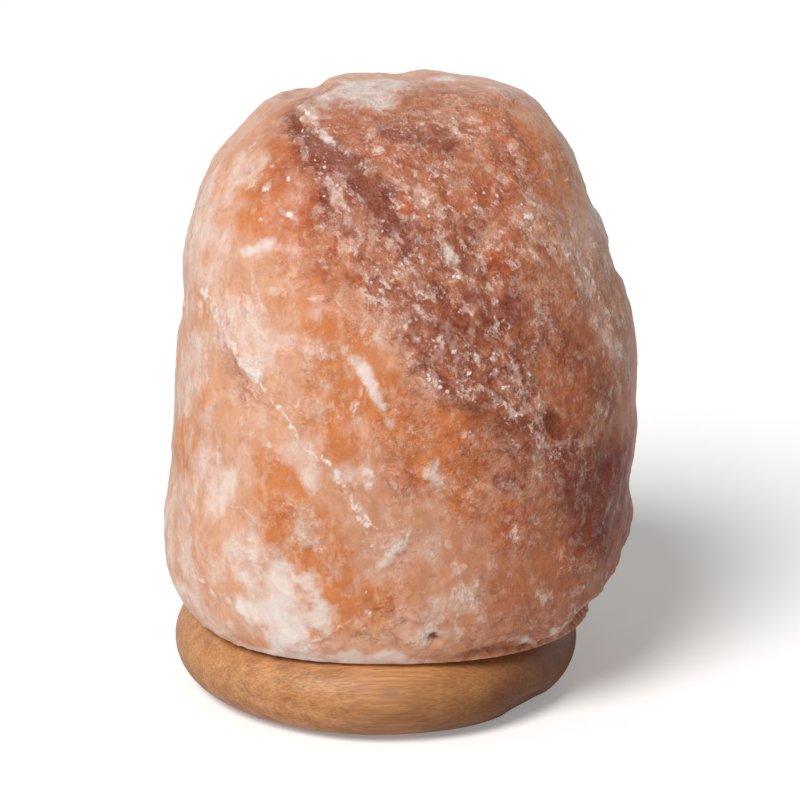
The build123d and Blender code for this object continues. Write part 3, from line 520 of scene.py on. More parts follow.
def noise_at(points, wave, seed, octaves, stretch=None):
    """Smooth noise from about -1 to 1, with that longest wavelength. It can be stretched along a line."""
    if stretch is not None:
        line = np.array(stretch)
        points = points - STRETCH * (points @ line)[:, None] * line
    shift = Vector([seed * step for step in SEED_STEPS])
    places = (Vector(p) + shift for p in points / wave)
    return np.array([noise.fractal(p, NOISE_FALL, NOISE_STEP, octaves) for p in places])


def strayed(points, wave, reach, seed, octaves):
    """Points moved about by noise, with that wavelength and reach, so that the edges of marks stray."""
    moves = [noise_at(points, wave, seed + k, octaves) for k in range(3)]
    return points + reach * np.stack(moves, 1)


def dimples_at(points, wave, seed):
    """1 at the middle of scattered round dimples, falling to 0 at their rims."""
    shift = Vector((seed, -seed, seed * 0.5))
    near = np.array([noise.voronoi(Vector(p) + shift)[0][0] for p in points / wave])
    return 1 - smoothstep(*DIMPLE, near)


def remeshed(node, voxel):
    """A copy of a CAD node as an even mesh of small quads: its points, its outward directions and itself."""
    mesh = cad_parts[node].data.copy()
    shape = bmesh.new()
    shape.from_mesh(mesh)
    bmesh.ops.remove_doubles(shape, verts=shape.verts, dist=0.001 * MM)
    bmesh.ops.recalc_face_normals(shape, faces=shape.faces)
    shape.to_mesh(mesh)
    shape.free()
    holder = bpy.data.objects.new("blank", mesh)
    bpy.context.scene.collection.objects.link(holder)
    remesh = holder.modifiers.new("even", "REMESH")
    remesh.mode = "VOXEL"
    remesh.voxel_size = voxel
    made = bpy.data.meshes.new_from_object(holder.evaluated_get(bpy.context.evaluated_depsgraph_get()))
    bpy.data.objects.remove(holder)
    bpy.data.meshes.remove(mesh)
    for face in made.polygons:
        face.use_smooth = True
    return vertex_table(made, "co"), vertex_table(made, "normal"), made


def surface_tree(points, mesh):
    """A search tree of a mesh's faces, for casting rays at it."""
    return BVHTree.FromPolygons([Vector(p) for p in points], [list(f.vertices) for f in mesh.polygons])


def place_points(mesh, points, low, high):
    """Moves a mesh's points, kept inside a box."""
    kept = np.clip(points, np.array(low), np.array(high))
    mesh.vertices.foreach_set("co", kept.astype(np.float32).ravel())
    mesh.update()


def vertex_table(mesh, field):
    """Three numbers for each vertex: its place or its outward direction."""
    values = np.empty(len(mesh.vertices) * 3, np.float32)
    mesh.vertices.foreach_get(field, values)
    return values.reshape(-1, 3).astype(float)


def store(mesh, name, values):
    """Keeps one number for each vertex, for the material to read."""
    mesh.attributes.new(name, "FLOAT", "POINT").data.foreach_set("value", values.astype(np.float32))


def carve(points, normals, mesh, settings):
    """Moves the rock's skin in and out, and stores where each kind of salt lies and where shade and light are
    painted.
    """
    rock = surface_tree(points, mesh)
    radius = np.hypot(points[:, 0], points[:, 1])
    above = points[:, 2] - FOOT
    skin = np.maximum(smoothstep(*WALL, radius), smoothstep(*ROOF, above))
    skin[(np.abs(normals[:, 2]) > FLAT_TURN) & (above < FLAT_HEIGHT)] = 0
    skin[(radius < PLUG_RADIUS) & (above < PLUG_HEIGHT)] = 0

    right, up, forward = camera_axes()
    slant = math.radians(BAND_TILT)
    band_line = right * math.cos(slant) + up * math.sin(slant)

    def cover(places, rows, edge):
        """How strongly a set of marks covers the rock."""
        return mark_share(places, rows, rock, edge)[0]

    far, near, close = (strayed(points, wave * MM, reach * MM, seed, 3) for wave, reach, seed in STRAYS)
    mottle = noise_at(points, 24 * MM, 3.0, 5)
    cloud = noise_at(points, 13 * MM, 31.0, 5)
    fleck = noise_at(points, 6 * MM, 41.0, 4)
    band = noise_at(points, 9 * MM, 51.0, 4, band_line)

    # Beyond what the photograph shows, the same kinds of salt lie in drifts of their own
    unseen = smoothstep(*TURNED_AWAY, normals @ np.array(forward))

    def drift(wave, seed, low, high, stretch=None):
        """Drifts of one kind of salt, so many mm apart, on the sides that the photograph doesn't show."""
        return unseen * smoothstep(low, high, noise_at(far, wave * MM, seed, 3, stretch))

    strata = drift(30, 81, 0.05, 0.5, band_line)
    foot_edge = np.exp(-((above / FOOT_EDGE) ** 2))
    grit = cover(far, GRIT, MISTY) + 0.8 * strata
    # Darker salt, and painted shade on the side turned from the light
    dark_salt_and_painted_shade = np.maximum(cover(far, DARK_SALT_AND_PAINTED_SHADE, MISTY), 0.6 * strata)
    clear = cover(far, CLEAR, SOFT) + drift(36, 61, -0.1, 0.5)
    # Hazy salt, and painted light where the rock is turned from the light
    haze_and_painted_light = cover(near, HAZE_AND_PAINTED_LIGHT, SOFT) + drift(26, 71, 0.05, 0.6)
    smoke = cover(near, SMOKE, EVEN) + 0.7 * strata
    rust = cover(near, RUST, MISTY) + 0.7 * strata * drift(14, 91, 0.0, 0.5)
    frost = cover(near, FROST, MISTY) + drift(20, 101, 0.3, 0.8)
    stores = {
        "clear": smoothstep(0.1, 1.0, clear + 0.4 * mottle + 0.1),
        "haze_and_painted_light": smoothstep(0.15, 1.0, 0.9 * haze_and_painted_light + 0.5 * cloud + 0.1),
        "smoke": smoothstep(0.1, 1.1, smoke + 0.4 * band),
        "rust": smoothstep(0.25, 1.0, rust + 0.4 * fleck - 0.02),
        "spot": cover(close, STAINS, FIRM),
        "dark_salt_and_painted_shade": dark_salt_and_painted_shade,
        "frost": np.maximum(
            smoothstep(0.1, 1.3, frost + 0.45 * fleck + 0.3 * foot_edge), cover(close, SNOW, FIRM)),
        "grit": np.clip(grit + 0.45 * cloud + 0.3 * dark_salt_and_painted_shade, 0, 1),
        "chip": cover(close, CHIPS_AND_PAINTED_GLINTS, CRISP),
    }
    stores["line_side"], stores["line"] = line_share(close, normals, LINES)
    for name in ROCK_STORES:
        store(mesh, name, stores[name])

    lumps = 0.8 * noise_at(points, 30 * MM, 3.5, 2) + 0.4 * noise_at(points, 12 * MM, 5.0, 3)
    hollows = dimples_at(points, 10 * MM, 2.0) * np.clip(0.4 + cloud, 0, 1)
    rough = (0.5 * band + 0.45 * noise_at(points, 4 * MM, 13.0, 2)) * (0.15 + np.clip(stores["grit"], 0, 1))
    height = (lumps + rough) * settings.lump_height * MM - hollows * settings.dimple_depth
    height += mark_share(near, RELIEF, rock, FIRM)[1] * MM + mark_share(close, PITS, rock, FIRM)[1] * MM
    height += stores["chip"] * CHIP_RISE
    height += stores["line"] * np.exp(-(stores["line_side"] / 2) ** 2) * VEIN_RISE
    height += foot_edge * (noise_at(points, 4 * MM, 17.0, 2) * 0.6 - 0.3) * MM
    place_points(mesh, points + normals * (height * skin)[:, None], *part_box("salt_crystal"))


# ---------------------------------------------------------------- materials
def rock_salt(settings):
    """Rock salt, hand-carved and washed smooth.

    Half-clear, so light goes in and softens every edge. Iron stains it orange to red-brown, trapped brine
    and fine cracks cloud it pink to white, and broken cleavage faces glint as small bright specks. The
    glints are painted into its colour as highlights, and parts of it carry painted shade and painted light.
    """
    material, add = new_material("rock_salt_carved")
    place = add("TexCoord")
    upright = add("Mapping", {"Vector": place, "Scale": (1, 1, GRAIN_STRETCH)}, vector_type="TEXTURE")
    slanted = add("Mapping", {"Vector": place, "Scale": (GRAIN_STRETCH, 1, 1),
                              "Rotation": (0, math.radians(-BAND_TILT), 0)}, vector_type="TEXTURE")
    stored = {name: add("Attribute", attribute_name=name) for name in ROCK_STORES}

    tearing = add("TexNoise", {"Vector": place, "Scale": 1 / (2.6 * MM), "Detail": 4, "Roughness": 0.65})
    fray = add("Math", {0: tearing, 1: 0.5}, operation="SUBTRACT")

    def torn(name, strength, low, high, most=1.0):
        """A stored share whose edge is torn by fine noise."""
        ragged = add("Math", {0: fray, 1: strength, 2: stored[name]}, operation="MULTIPLY_ADD")
        return add("MapRange", {"Value": ragged, "From Min": low, "From Max": high, "To Max": most}, **SMOOTH)

    # Deep colour: cloudy pink, clear orange, smoke, iron
    layers = (
        (torn("clear", 0.5, 0.05, 0.95), settings.clear_colour),
        (torn("smoke", 1.0, 0.0, 1.0, 0.8), settings.smoke_colour),
        (torn("rust", 1.4, 0.0, 1.15, 0.85), settings.rust_colour),
    )
    colour = linear(settings.cloudy_colour)
    for share, layer in layers:
        colour = add("Mix", {0: share, 6: colour, 7: linear(layer)}, **COLOUR)
    # Haze drawn out into wisps, partly painted light; darker salt, partly painted shade; and white frost
    wisp = add("TexNoise", {"Vector": upright, "Scale": 1 / (6.5 * MM), "Detail": 6, "Roughness": 0.7})
    wisp = add("MapRange", {"Value": wisp, "From Min": 0.46, "From Max": 0.72, "To Min": -0.1, "To Max": 0.6})
    veil = add("Math", {0: torn("haze_and_painted_light", 0.9, 0.1, 1.0, 0.75), 1: wisp}, operation="ADD", use_clamp=True)
    colour = add("Mix", {0: veil, 6: colour, 7: linear(settings.haze_and_light_colour)}, **COLOUR)
    colour = add("Mix", {0: stored["dark_salt_and_painted_shade"], 6: colour, 7: linear(settings.dark_salt_and_shade_colour)}, **TINT)
    frosted = torn("frost", 0.9, 0.15, 0.9, 0.8)
    colour = add("Mix", {0: frosted, 6: colour, 7: linear(settings.frost_colour)}, **COLOUR)
    # Fine stain, strongest along the band
    grit = torn("grit", 1.0, 0.0, 1.0)
    mottle = add("TexNoise", {"Vector": slanted, "Scale": 1 / (4.5 * MM), "Detail": 8, "Roughness": 0.72,
                              "Distortion": 0.8})
    mottle = add("MapRange", {"Value": mottle, "From Min": 0.36, "From Max": 0.64}, **SMOOTH)
    stain = add("Mix", {0: mottle, 6: linear(settings.stain_colour), 7: BETWEEN_STAINS}, **COLOUR)
    stained = add("Math", {0: grit, 1: 0.45, 2: 0.2}, operation="MULTIPLY_ADD")
    colour = add("Mix", {0: stained, 6: colour, 7: stain}, **TINT)
    # Crushed salt under the skin: crumbs where it is gritty, flecks where it is hazy
    crumbs = add("TexNoise", {"Vector": slanted, "Scale": 1 / (2.8 * MM), "Detail": 7, "Roughness": 0.74,
                              "Distortion": 0.2})
    crumbs = add("MapRange", {"Value": crumbs, "From Min": 0.5, "From Max": 0.6}, **SMOOTH)
    swarm = add("TexNoise", {"Vector": place, "Scale": 1 / (7 * MM), "Detail": 4, "Roughness": 0.6})
    swarm = add("MapRange", {"Value": swarm, "From Min": 0.4, "From Max": 0.62, "To Min": 0.3})
    crumbs = add("Math", {0: crumbs, 1: swarm}, operation="MULTIPLY")
    crumbs = add("Math", {0: crumbs, 1: grit}, operation="MULTIPLY")
    flecks = add("TexNoise", {"Vector": upright, "Scale": 1 / (4 * MM), "Detail": 8, "Roughness": 0.76})
    flecks = add("MapRange", {"Value": flecks, "From Min": 0.52, "From Max": 0.62, "To Max": 0.75}, **SMOOTH)
    hazy = add("Math", {0: stored["haze_and_painted_light"], 1: 0.35}, operation="ADD")
    flecks = add("Math", {0: flecks, 1: hazy}, operation="MULTIPLY")
    soft = add("Math", {0: crumbs, 1: 0.8}, operation="MULTIPLY")
    soft = add("Math", {0: soft, 1: flecks}, operation="MAXIMUM", use_clamp=True)
    colour = add("Mix", {0: soft, 6: colour, 7: linear(settings.crumb_colour)}, **COLOUR)
    spotted = torn("spot", 0.8, 0.25, 0.75, 0.85)
    colour = add("Mix", {0: spotted, 6: colour, 7: linear(settings.spot_colour)}, **COLOUR)
    # Painted highlights: hard glints painted as bright colour, sparks among the crumbs and crowds of small
    # round grains
    sparks = add("TexNoise", {"Vector": place, "Scale": 1 / MM, "Detail": 3, "Roughness": 0.6})
    sparks = add("MapRange", {"Value": sparks, "From Min": 0.57, "From Max": 0.63}, **SMOOTH)
    sparks = add("Math", {0: sparks, 1: crumbs}, operation="MULTIPLY")
    bent = add("VectorMath", {0: tearing.outputs["Color"], 1: (0.9 * MM,) * 3, 2: place},
               operation="MULTIPLY_ADD")
    grains = add("TexVoronoi", {"Vector": bent, "Scale": 1 / (1.6 * MM)})
    size = add("MapRange", {"Value": grains.outputs["Color"], "From Min": 0.45, "From Max": 0.9,
                            "To Min": -0.05, "To Max": 0.42})
    drops = add("Math", {0: size, 1: grains}, operation="SUBTRACT")
    drops = add("MapRange", {"Value": drops, "From Min": -0.04, "From Max": 0.1}, **SMOOTH)
    crowd = add("TexNoise", {"Vector": slanted, "Scale": 1 / (11 * MM), "Detail": 4, "Roughness": 0.6})
    crowd = add("MapRange", {"Value": crowd, "From Min": 0.48, "From Max": 0.6}, **SMOOTH)
    packed = add("MapRange", {"Value": grit, "From Min": 0.5, "From Max": 1.0})
    crowd = add("Math", {0: crowd, 1: packed}, operation="MULTIPLY")
    drops = add("Math", {0: drops, 1: crowd}, operation="MULTIPLY")
    sparks = add("Math", {0: drops, 1: sparks}, operation="MAXIMUM")
    # The vein's broken thread, and chips, partly painted glints, mixed with the sparks into the painted glint
    # colour
    thread = add("Math", {0: fray, 1: 9.0, 2: stored["line_side"]}, operation="MULTIPLY_ADD")
    thread = add("Math", {0: thread}, operation="ABSOLUTE")
    thread = add("MapRange", {"Value": thread, "From Min": 1.6, "From Max": 0.2}, **SMOOTH)
    thread = add("Math", {0: thread, 1: stored["line"]}, operation="MULTIPLY")
    gaps = add("TexNoise", {"Vector": place, "Scale": 1 / (2.4 * MM), "Detail": 3})
    gaps = add("MapRange", {"Value": gaps, "From Min": 0.42, "From Max": 0.56, "To Min": 0.05})
    thread = add("Math", {0: thread, 1: gaps}, operation="MULTIPLY")
    chips = add("Math", {0: torn("chip", 2.4, 0.5, 0.9), 1: sparks}, operation="MAXIMUM")
    chips = add("Math", {0: chips, 1: thread}, operation="MAXIMUM", use_clamp=True)
    colour = add("Mix", {0: chips, 6: colour, 7: linear(settings.painted_glint_colour)}, **COLOUR)

    # Light goes in deep, but not at crumbs and glints. Grit is glossy and uneven, and frost is dull
    bright = add("Math", {0: soft, 1: chips}, operation="MAXIMUM")
    depth = add("MapRange", {"Value": bright, "To Min": 0.45, "To Max": 0.0})
    gloss = add("Math", {0: grit, 1: -0.14, 2: 0.38}, operation="MULTIPLY_ADD")
    gloss = add("Math", {0: stored["frost"], 1: 0.25, 2: gloss}, operation="MULTIPLY_ADD")
    coarse = add("TexNoise", {"Vector": slanted, "Scale": 1 / (3.4 * MM), "Detail": 5, "Roughness": 0.6})
    worn = add("Math", {0: grit, 1: 0.08}, operation="ADD")
    coarse = add("Math", {0: coarse, 1: worn}, operation="MULTIPLY")
    bump = add("Bump", {"Height": coarse, "Distance": 1.1 * MM})
    fine = add("TexNoise", {"Vector": place, "Scale": 1 / (1.3 * MM), "Detail": 3, "Roughness": 0.6})
    fine = add("Math", {0: fine, 1: worn, 2: drops}, operation="MULTIPLY_ADD")
    bump = add("Bump", {"Height": fine, "Distance": 0.3 * MM, "Normal": bump})
    shader = add("BsdfPrincipled", {
        "Base Color": colour, "Roughness": gloss, "Normal": bump, "IOR": 1.54, "Specular IOR Level": 0.25,
        "Subsurface Weight": depth, "Subsurface Radius": (1.0, 0.65, 0.45), "Subsurface Scale": 4 * MM,
    })
    add("OutputMaterial", {"Surface": shader})
    return material


def turned_wood(settings):
    """Neem wood, turned, sanded and oiled: a satin skin with fine straight grain along the plank."""
    material, add = new_material("neem_turned_oiled")
    place = add("TexCoord")

    def grain(along_mm, across_mm, detail, low, high, most=1.0):
        """Noise drawn out along the plank, between two levels."""
        along = add("Mapping", {"Vector": place, "Scale": (along_mm / across_mm, 1, 1),
                                "Rotation": (0, 0, PLANK_TURN)}, vector_type="TEXTURE")
        lines = add("TexNoise", {"Vector": along, "Scale": 1 / (across_mm * MM), "Detail": detail,
                                 "Roughness": 0.6})
        return add("MapRange", {"Value": lines, "From Min": low, "From Max": high, "To Max": most})

    # Broad grain, golden patches and fibres
    colour = add("Mix", {0: grain(70, 3.6, 5, 0.34, 0.66), 6: linear(settings.dark_grain),
                         7: linear(settings.pale_grain)}, **COLOUR)
    golden = grain(60, 22, 2, 0.45, 0.65, 0.7)
    colour = add("Mix", {0: golden, 6: colour, 7: linear(settings.gold_grain)}, **COLOUR)
    fibres = grain(12, 0.55, 4, 0.34, 0.66)
    lines = add("MapRange", {"Value": fibres, "To Min": 0.72, "To Max": 1.16})
    colour = add("Mix", {0: 1.0, 6: colour, 7: lines}, **TINT)
    # Painted shade on the right side, grey smudges and open pores
    painted_shade = add("Attribute", attribute_name="painted_wood_shade")
    colour = add("Mix", {0: painted_shade, 6: colour, 7: linear(settings.painted_wood_shade)}, **TINT)
    grey = add("Attribute", attribute_name="smudge")
    colour = add("Mix", {0: grey, 6: colour, 7: linear(settings.smudge)}, **COLOUR)
    pores = grain(5, 0.35, 2, 0.66, 0.74)
    colour = add("Mix", {0: pores, 6: colour, 7: linear(settings.pore_colour)}, **COLOUR)
    satin = add("MapRange", {"Value": fibres, "To Min": 0.46, "To Max": 0.36})
    bump = add("Bump", {"Height": fibres, "Distance": 0.05 * MM})
    shader = add("BsdfPrincipled", {"Base Color": colour, "Roughness": satin, "Normal": bump, "IOR": 1.5,
                                    "Specular IOR Level": 0.3})
    add("OutputMaterial", {"Surface": shader})
    return material


def felt_cloth(colour):
    """Wool felt, pressed and dyed black: matted fibres, quite dull, with a faint pale nap."""
    material, add = new_material("wool_felt_pressed")
    place = add("TexCoord")
    fibres = add("TexNoise", {"Vector": place, "Scale": 1 / (0.6 * MM), "Detail": 5, "Roughness": 0.7,
                              "Distortion": 2})
    pale = (*(NAP_SHARE * channel for channel in linear(colour)[:3]), 1)
    nap = add("MapRange", {"Value": fibres, "From Min": 0.35, "From Max": 0.7})
    tone = add("Mix", {0: nap, 6: linear(colour), 7: pale}, **COLOUR)
    bump = add("Bump", {"Height": fibres, "Distance": 0.3 * MM})
    shader = add("BsdfPrincipled", {"Base Color": tone, "Roughness": 0.95, "Normal": bump,
                                    "Sheen Weight": 0.4, "Sheen Roughness": 0.6})
    add("OutputMaterial", {"Surface": shader})
    return material


class Finish(NamedTuple):
    """A finish with two tones that drift into each other, and a fine grain that dulls and roughens it."""

    name: str
    tones: tuple           # sRGB hex, the commoner first
    drift: float           # millimetres from one patch of tone to the next
    grain: float           # millimetres, the size of the fine grain
    roughness: tuple       # in the smooth and the rough places
    depth: float           # millimetres, the depth of the grain
    shader: dict = {}      # what else the shader needs
    stretch: tuple = (1, 1, 1)


METAL = {"Metallic": 1.0}
FINISHES = {
    # Moulded nylon, grey: waxy, with faint flow marks
    "nylon": Finish("nylon_moulded", ("#8f9193", "#a2a4a5"), 6, 0.4, (0.42, 0.6), 0.02),
    # Steel, yellow zinc plated: iridescent straw to green-gold
    "screw_steel": Finish("steel_yellow_zinc", ("#c9b37a", "#a9b58a"), 3, 0.25, (0.28, 0.42), 0.01, METAL),
    # Sheet steel, bright zinc plated: cool grey with a soft bloom
    "plated_steel": Finish("steel_bright_zinc", ("#b9bdc1", "#a4a9ae"), 9, 0.3, (0.26, 0.46), 0.01, METAL),
    # Tempered spring steel: drawn along its length, with a straw to blue heat tint
    "spring_steel": Finish("spring_steel_tempered", ("#8d8f94", "#9a8f80"), 7, 0.2, (0.3, 0.45), 0.01,
                           METAL, (1, 1, 14)),
    # Moulded polypropylene, natural: milky, a little light goes through
    "bush_plastic": Finish(
        "polypropylene_moulded", ("#e2e1db", "#d6d6d1"), 5, 0.3, (0.35, 0.5), 0.015,
        {"Subsurface Weight": 0.25, "Subsurface Radius": (1, 1, 1), "Subsurface Scale": MM}),
    # Moulded white plastic: glossy, slightly orange-peeled
    "holder_plastic": Finish("pbt_moulded_white", ("#e6e3da", "#ded9cd"), 12, 1.6, (0.16, 0.24), 0.03),
    # Porcelain, glazed: a hard wet gloss over a faintly speckled body
    "porcelain": Finish("porcelain_glazed", ("#ebe8df", "#e0dccf"), 5, 0.8, (0.06, 0.14), 0.02,
                        {"Coat Weight": 0.6, "Coat Roughness": 0.05}),
    # Brass, stamped and drawn: warm gold, with browner tarnish in patches
    "brass": Finish("brass_stamped", ("#d2b065", "#b48f4c"), 6, 0.25, (0.2, 0.38), 0.01, METAL),
    # Brass, nickel plated: bright, slightly yellow
    "nickel": Finish("nickel_plated", ("#d0cdc5", "#c2beb4"), 7, 0.3, (0.14, 0.28), 0.008, METAL),
    # Black cap glass: a deep gloss with slight waves
    "black_glass": Finish("cap_glass_black", ("#0d0d10", "#19191c"), 4, 1.5, (0.06, 0.16), 0.03),
    # Tin solder, cooled in the air: frosty grey with a crinkled skin
    "solder": Finish("solder_cooled", ("#b0b0ae", "#98999a"), 1.2, 0.35, (0.3, 0.5), 0.06, METAL),
    # Drawn wire, annealed grey
    "tungsten": Finish("wire_drawn_grey", ("#6e6a66", "#85817a"), 2, 0.15, (0.3, 0.45), 0.004, METAL,
                       (6, 1, 1)),
    # Soda-lime glass, blown: clear, with faint waves in its wall
    "clear_glass": Finish("soda_lime_glass_blown", ("#f4faf9", "#eef7f6"), 20, 9, (0.0, 0.02), 0.03,
                          {"Transmission Weight": 1.0, "IOR": 1.52}),
}


def finished(slot):
    """The material of a finish."""
    finish = FINISHES[slot]
    material, add = new_material(finish.name)
    drawn = add("Mapping", {"Vector": add("TexCoord"), "Scale": finish.stretch}, vector_type="TEXTURE")
    patches = add("TexNoise", {"Vector": drawn, "Scale": 1 / (finish.drift * MM), "Detail": 4,
                               "Roughness": 0.6})
    share = add("MapRange", {"Value": patches, "From Min": 0.35, "From Max": 0.65})
    tone = add("Mix", {0: share, 6: linear(finish.tones[0]), 7: linear(finish.tones[1])}, **COLOUR)
    grain = add("TexNoise", {"Vector": drawn, "Scale": 1 / (finish.grain * MM), "Detail": 3,
                             "Roughness": 0.6})
    dull = add("MapRange", {"Value": grain, "From Min": 0.3, "From Max": 0.7, "To Min": finish.roughness[0],
                            "To Max": finish.roughness[1]})
    bump = add("Bump", {"Height": grain, "Distance": finish.depth * MM})
    shader = add("BsdfPrincipled", {"Base Color": tone, "Roughness": dull, "Normal": bump} | finish.shader)
    add("OutputMaterial", {"Surface": shader})
    return material


# ---------------------------------------------------------------- settings
class RockSettings(bpy.types.PropertyGroup):
    """The rock's mesh, its skin and the colours of its salt"""

    voxel: bpy.props.FloatProperty(
        name="Mesh size", description="Size of the rock's mesh squares", default=1.12 * MM, min=0.5 * MM,
        max=5 * MM, precision=5, unit="LENGTH")
    lump_height: bpy.props.FloatProperty(
        name="Lumps", description="How strongly the rock's skin is lumpy, 1 as in life", default=1.0, min=0,
        max=4)
    dimple_depth: bpy.props.FloatProperty(
        name="Dimples", description="Depth of the washed-out dimples", default=0.45 * MM, min=0, max=3 * MM,
        precision=5, unit="LENGTH")
    cloudy_colour: bpy.props.StringProperty(
        name="Cloudy salt", description="sRGB hex colour of pink cloudy salt", default="#e0a988")
    clear_colour: bpy.props.StringProperty(
        name="Clear salt", description="sRGB hex colour of clear orange salt", default="#da8b54")
    # The colour of hazy salt, and of the light painted on the rock's shaded parts
    haze_and_light_colour: bpy.props.StringProperty(
        name="Haze", description="sRGB hex colour of hazy salt", default="#efd8ca")
    smoke_colour: bpy.props.StringProperty(
        name="Smoky salt", description="sRGB hex colour of smoky brown salt", default="#a45e3d")
    rust_colour: bpy.props.StringProperty(
        name="Iron stain", description="sRGB hex colour of iron-stained salt", default="#9a4826")
    spot_colour: bpy.props.StringProperty(
        name="Iron spots", description="sRGB hex colour of the small iron-stained spots", default="#8c4424")
    # The colour of darker salt, and of the shade painted on the rock's right side, right edges and foot
    dark_salt_and_shade_colour: bpy.props.StringProperty(
        name="Shade", description="sRGB hex colour that darker salt is multiplied by", default="#cfa17f")
    frost_colour: bpy.props.StringProperty(
        name="Frosted salt", description="sRGB hex colour of white frosted salt", default="#f4ece6")
    stain_colour: bpy.props.StringProperty(
        name="Fine stain", description="sRGB hex colour that the finest dark mottling is multiplied by",
        default="#cd9775")
    crumb_colour: bpy.props.StringProperty(
        name="Crumbs", description="sRGB hex colour of crushed salt under the skin", default="#f0d3c4")
    # The colour of painted glints, bright specks that stand in for light off broken faces
    painted_glint_colour: bpy.props.StringProperty(
        name="Glints", description="sRGB hex colour of broken faces", default="#f6e6dc")


class WoodSettings(bpy.types.PropertyGroup):
    """The base's mesh, its rim and the colours of its wood"""

    voxel: bpy.props.FloatProperty(
        name="Mesh size", description="Size of the wood's mesh squares", default=0.8 * MM, min=0.5 * MM,
        max=4 * MM, precision=5, unit="LENGTH")
    unevenness: bpy.props.FloatProperty(
        name="Unevenness", description="How far the hand-turned rim strays", default=0.15 * MM, min=0, max=MM,
        precision=5, unit="LENGTH")
    # The colour that the base's painted shade is multiplied by
    painted_wood_shade: bpy.props.StringProperty(
        name="Old wood", description="sRGB hex colour that the darker side is multiplied by",
        default="#93795c")
    smudge: bpy.props.StringProperty(
        name="Smudges", description="sRGB hex colour of the grey smudges", default="#6f6257")
    dark_grain: bpy.props.StringProperty(
        name="Dark grain", description="sRGB hex colour of the dark grain", default="#ad7145")
    pale_grain: bpy.props.StringProperty(
        name="Pale grain", description="sRGB hex colour of the pale grain", default="#cf9668")
    gold_grain: bpy.props.StringProperty(
        name="Golden grain", description="sRGB hex colour of the golden patches", default="#cf9459")
    pore_colour: bpy.props.StringProperty(
        name="Pores", description="sRGB hex colour of the open pores", default="#7d5334")


class FeltSettings(bpy.types.PropertyGroup):
    """The felt's mesh, its nap and its colour"""

    voxel: bpy.props.FloatProperty(
        name="Mesh size", description="Size of the felt's mesh squares", default=0.4 * MM, min=0.2 * MM,
        max=2 * MM, precision=5, unit="LENGTH")
    nap: bpy.props.FloatProperty(
        name="Nap", description="How uneven the felt's skin is", default=0.05 * MM, min=0, max=0.3 * MM,
        precision=5, unit="LENGTH")
    colour: bpy.props.StringProperty(
        name="Felt", description="sRGB hex colour of the felt", default="#1f1e1d")


class BulbSettings(bpy.types.PropertyGroup):
    """The bulb's filament"""

    turns: bpy.props.IntProperty(name="Turns", description="Turns of the filament", default=44, min=4, max=90)
    corners: bpy.props.IntProperty(
        name="Corners", description="Points round each turn of the filament", default=10, min=6, max=24)
    wire: bpy.props.FloatProperty(
        name="Wire", description="Thickness of the filament's wire, drawn a little thick so that it shows",
        default=0.09 * MM, min=0.02 * MM, max=0.2 * MM, precision=6, unit="LENGTH")


class LightSettings(bpy.types.PropertyGroup):
    """The studio's lights"""

    key_strength: bpy.props.FloatProperty(
        name="Key light", description="Strength of the soft light in front at the left", default=2.75, min=0)
    fill_strength: bpy.props.FloatProperty(
        name="Fill", description="Strength of the light from all round", default=0.16, min=0)
    floor_lift: bpy.props.FloatProperty(
        name="Floor lift", description="White added to the floor as the camera sees it", default=0.25, min=0,
        max=1)


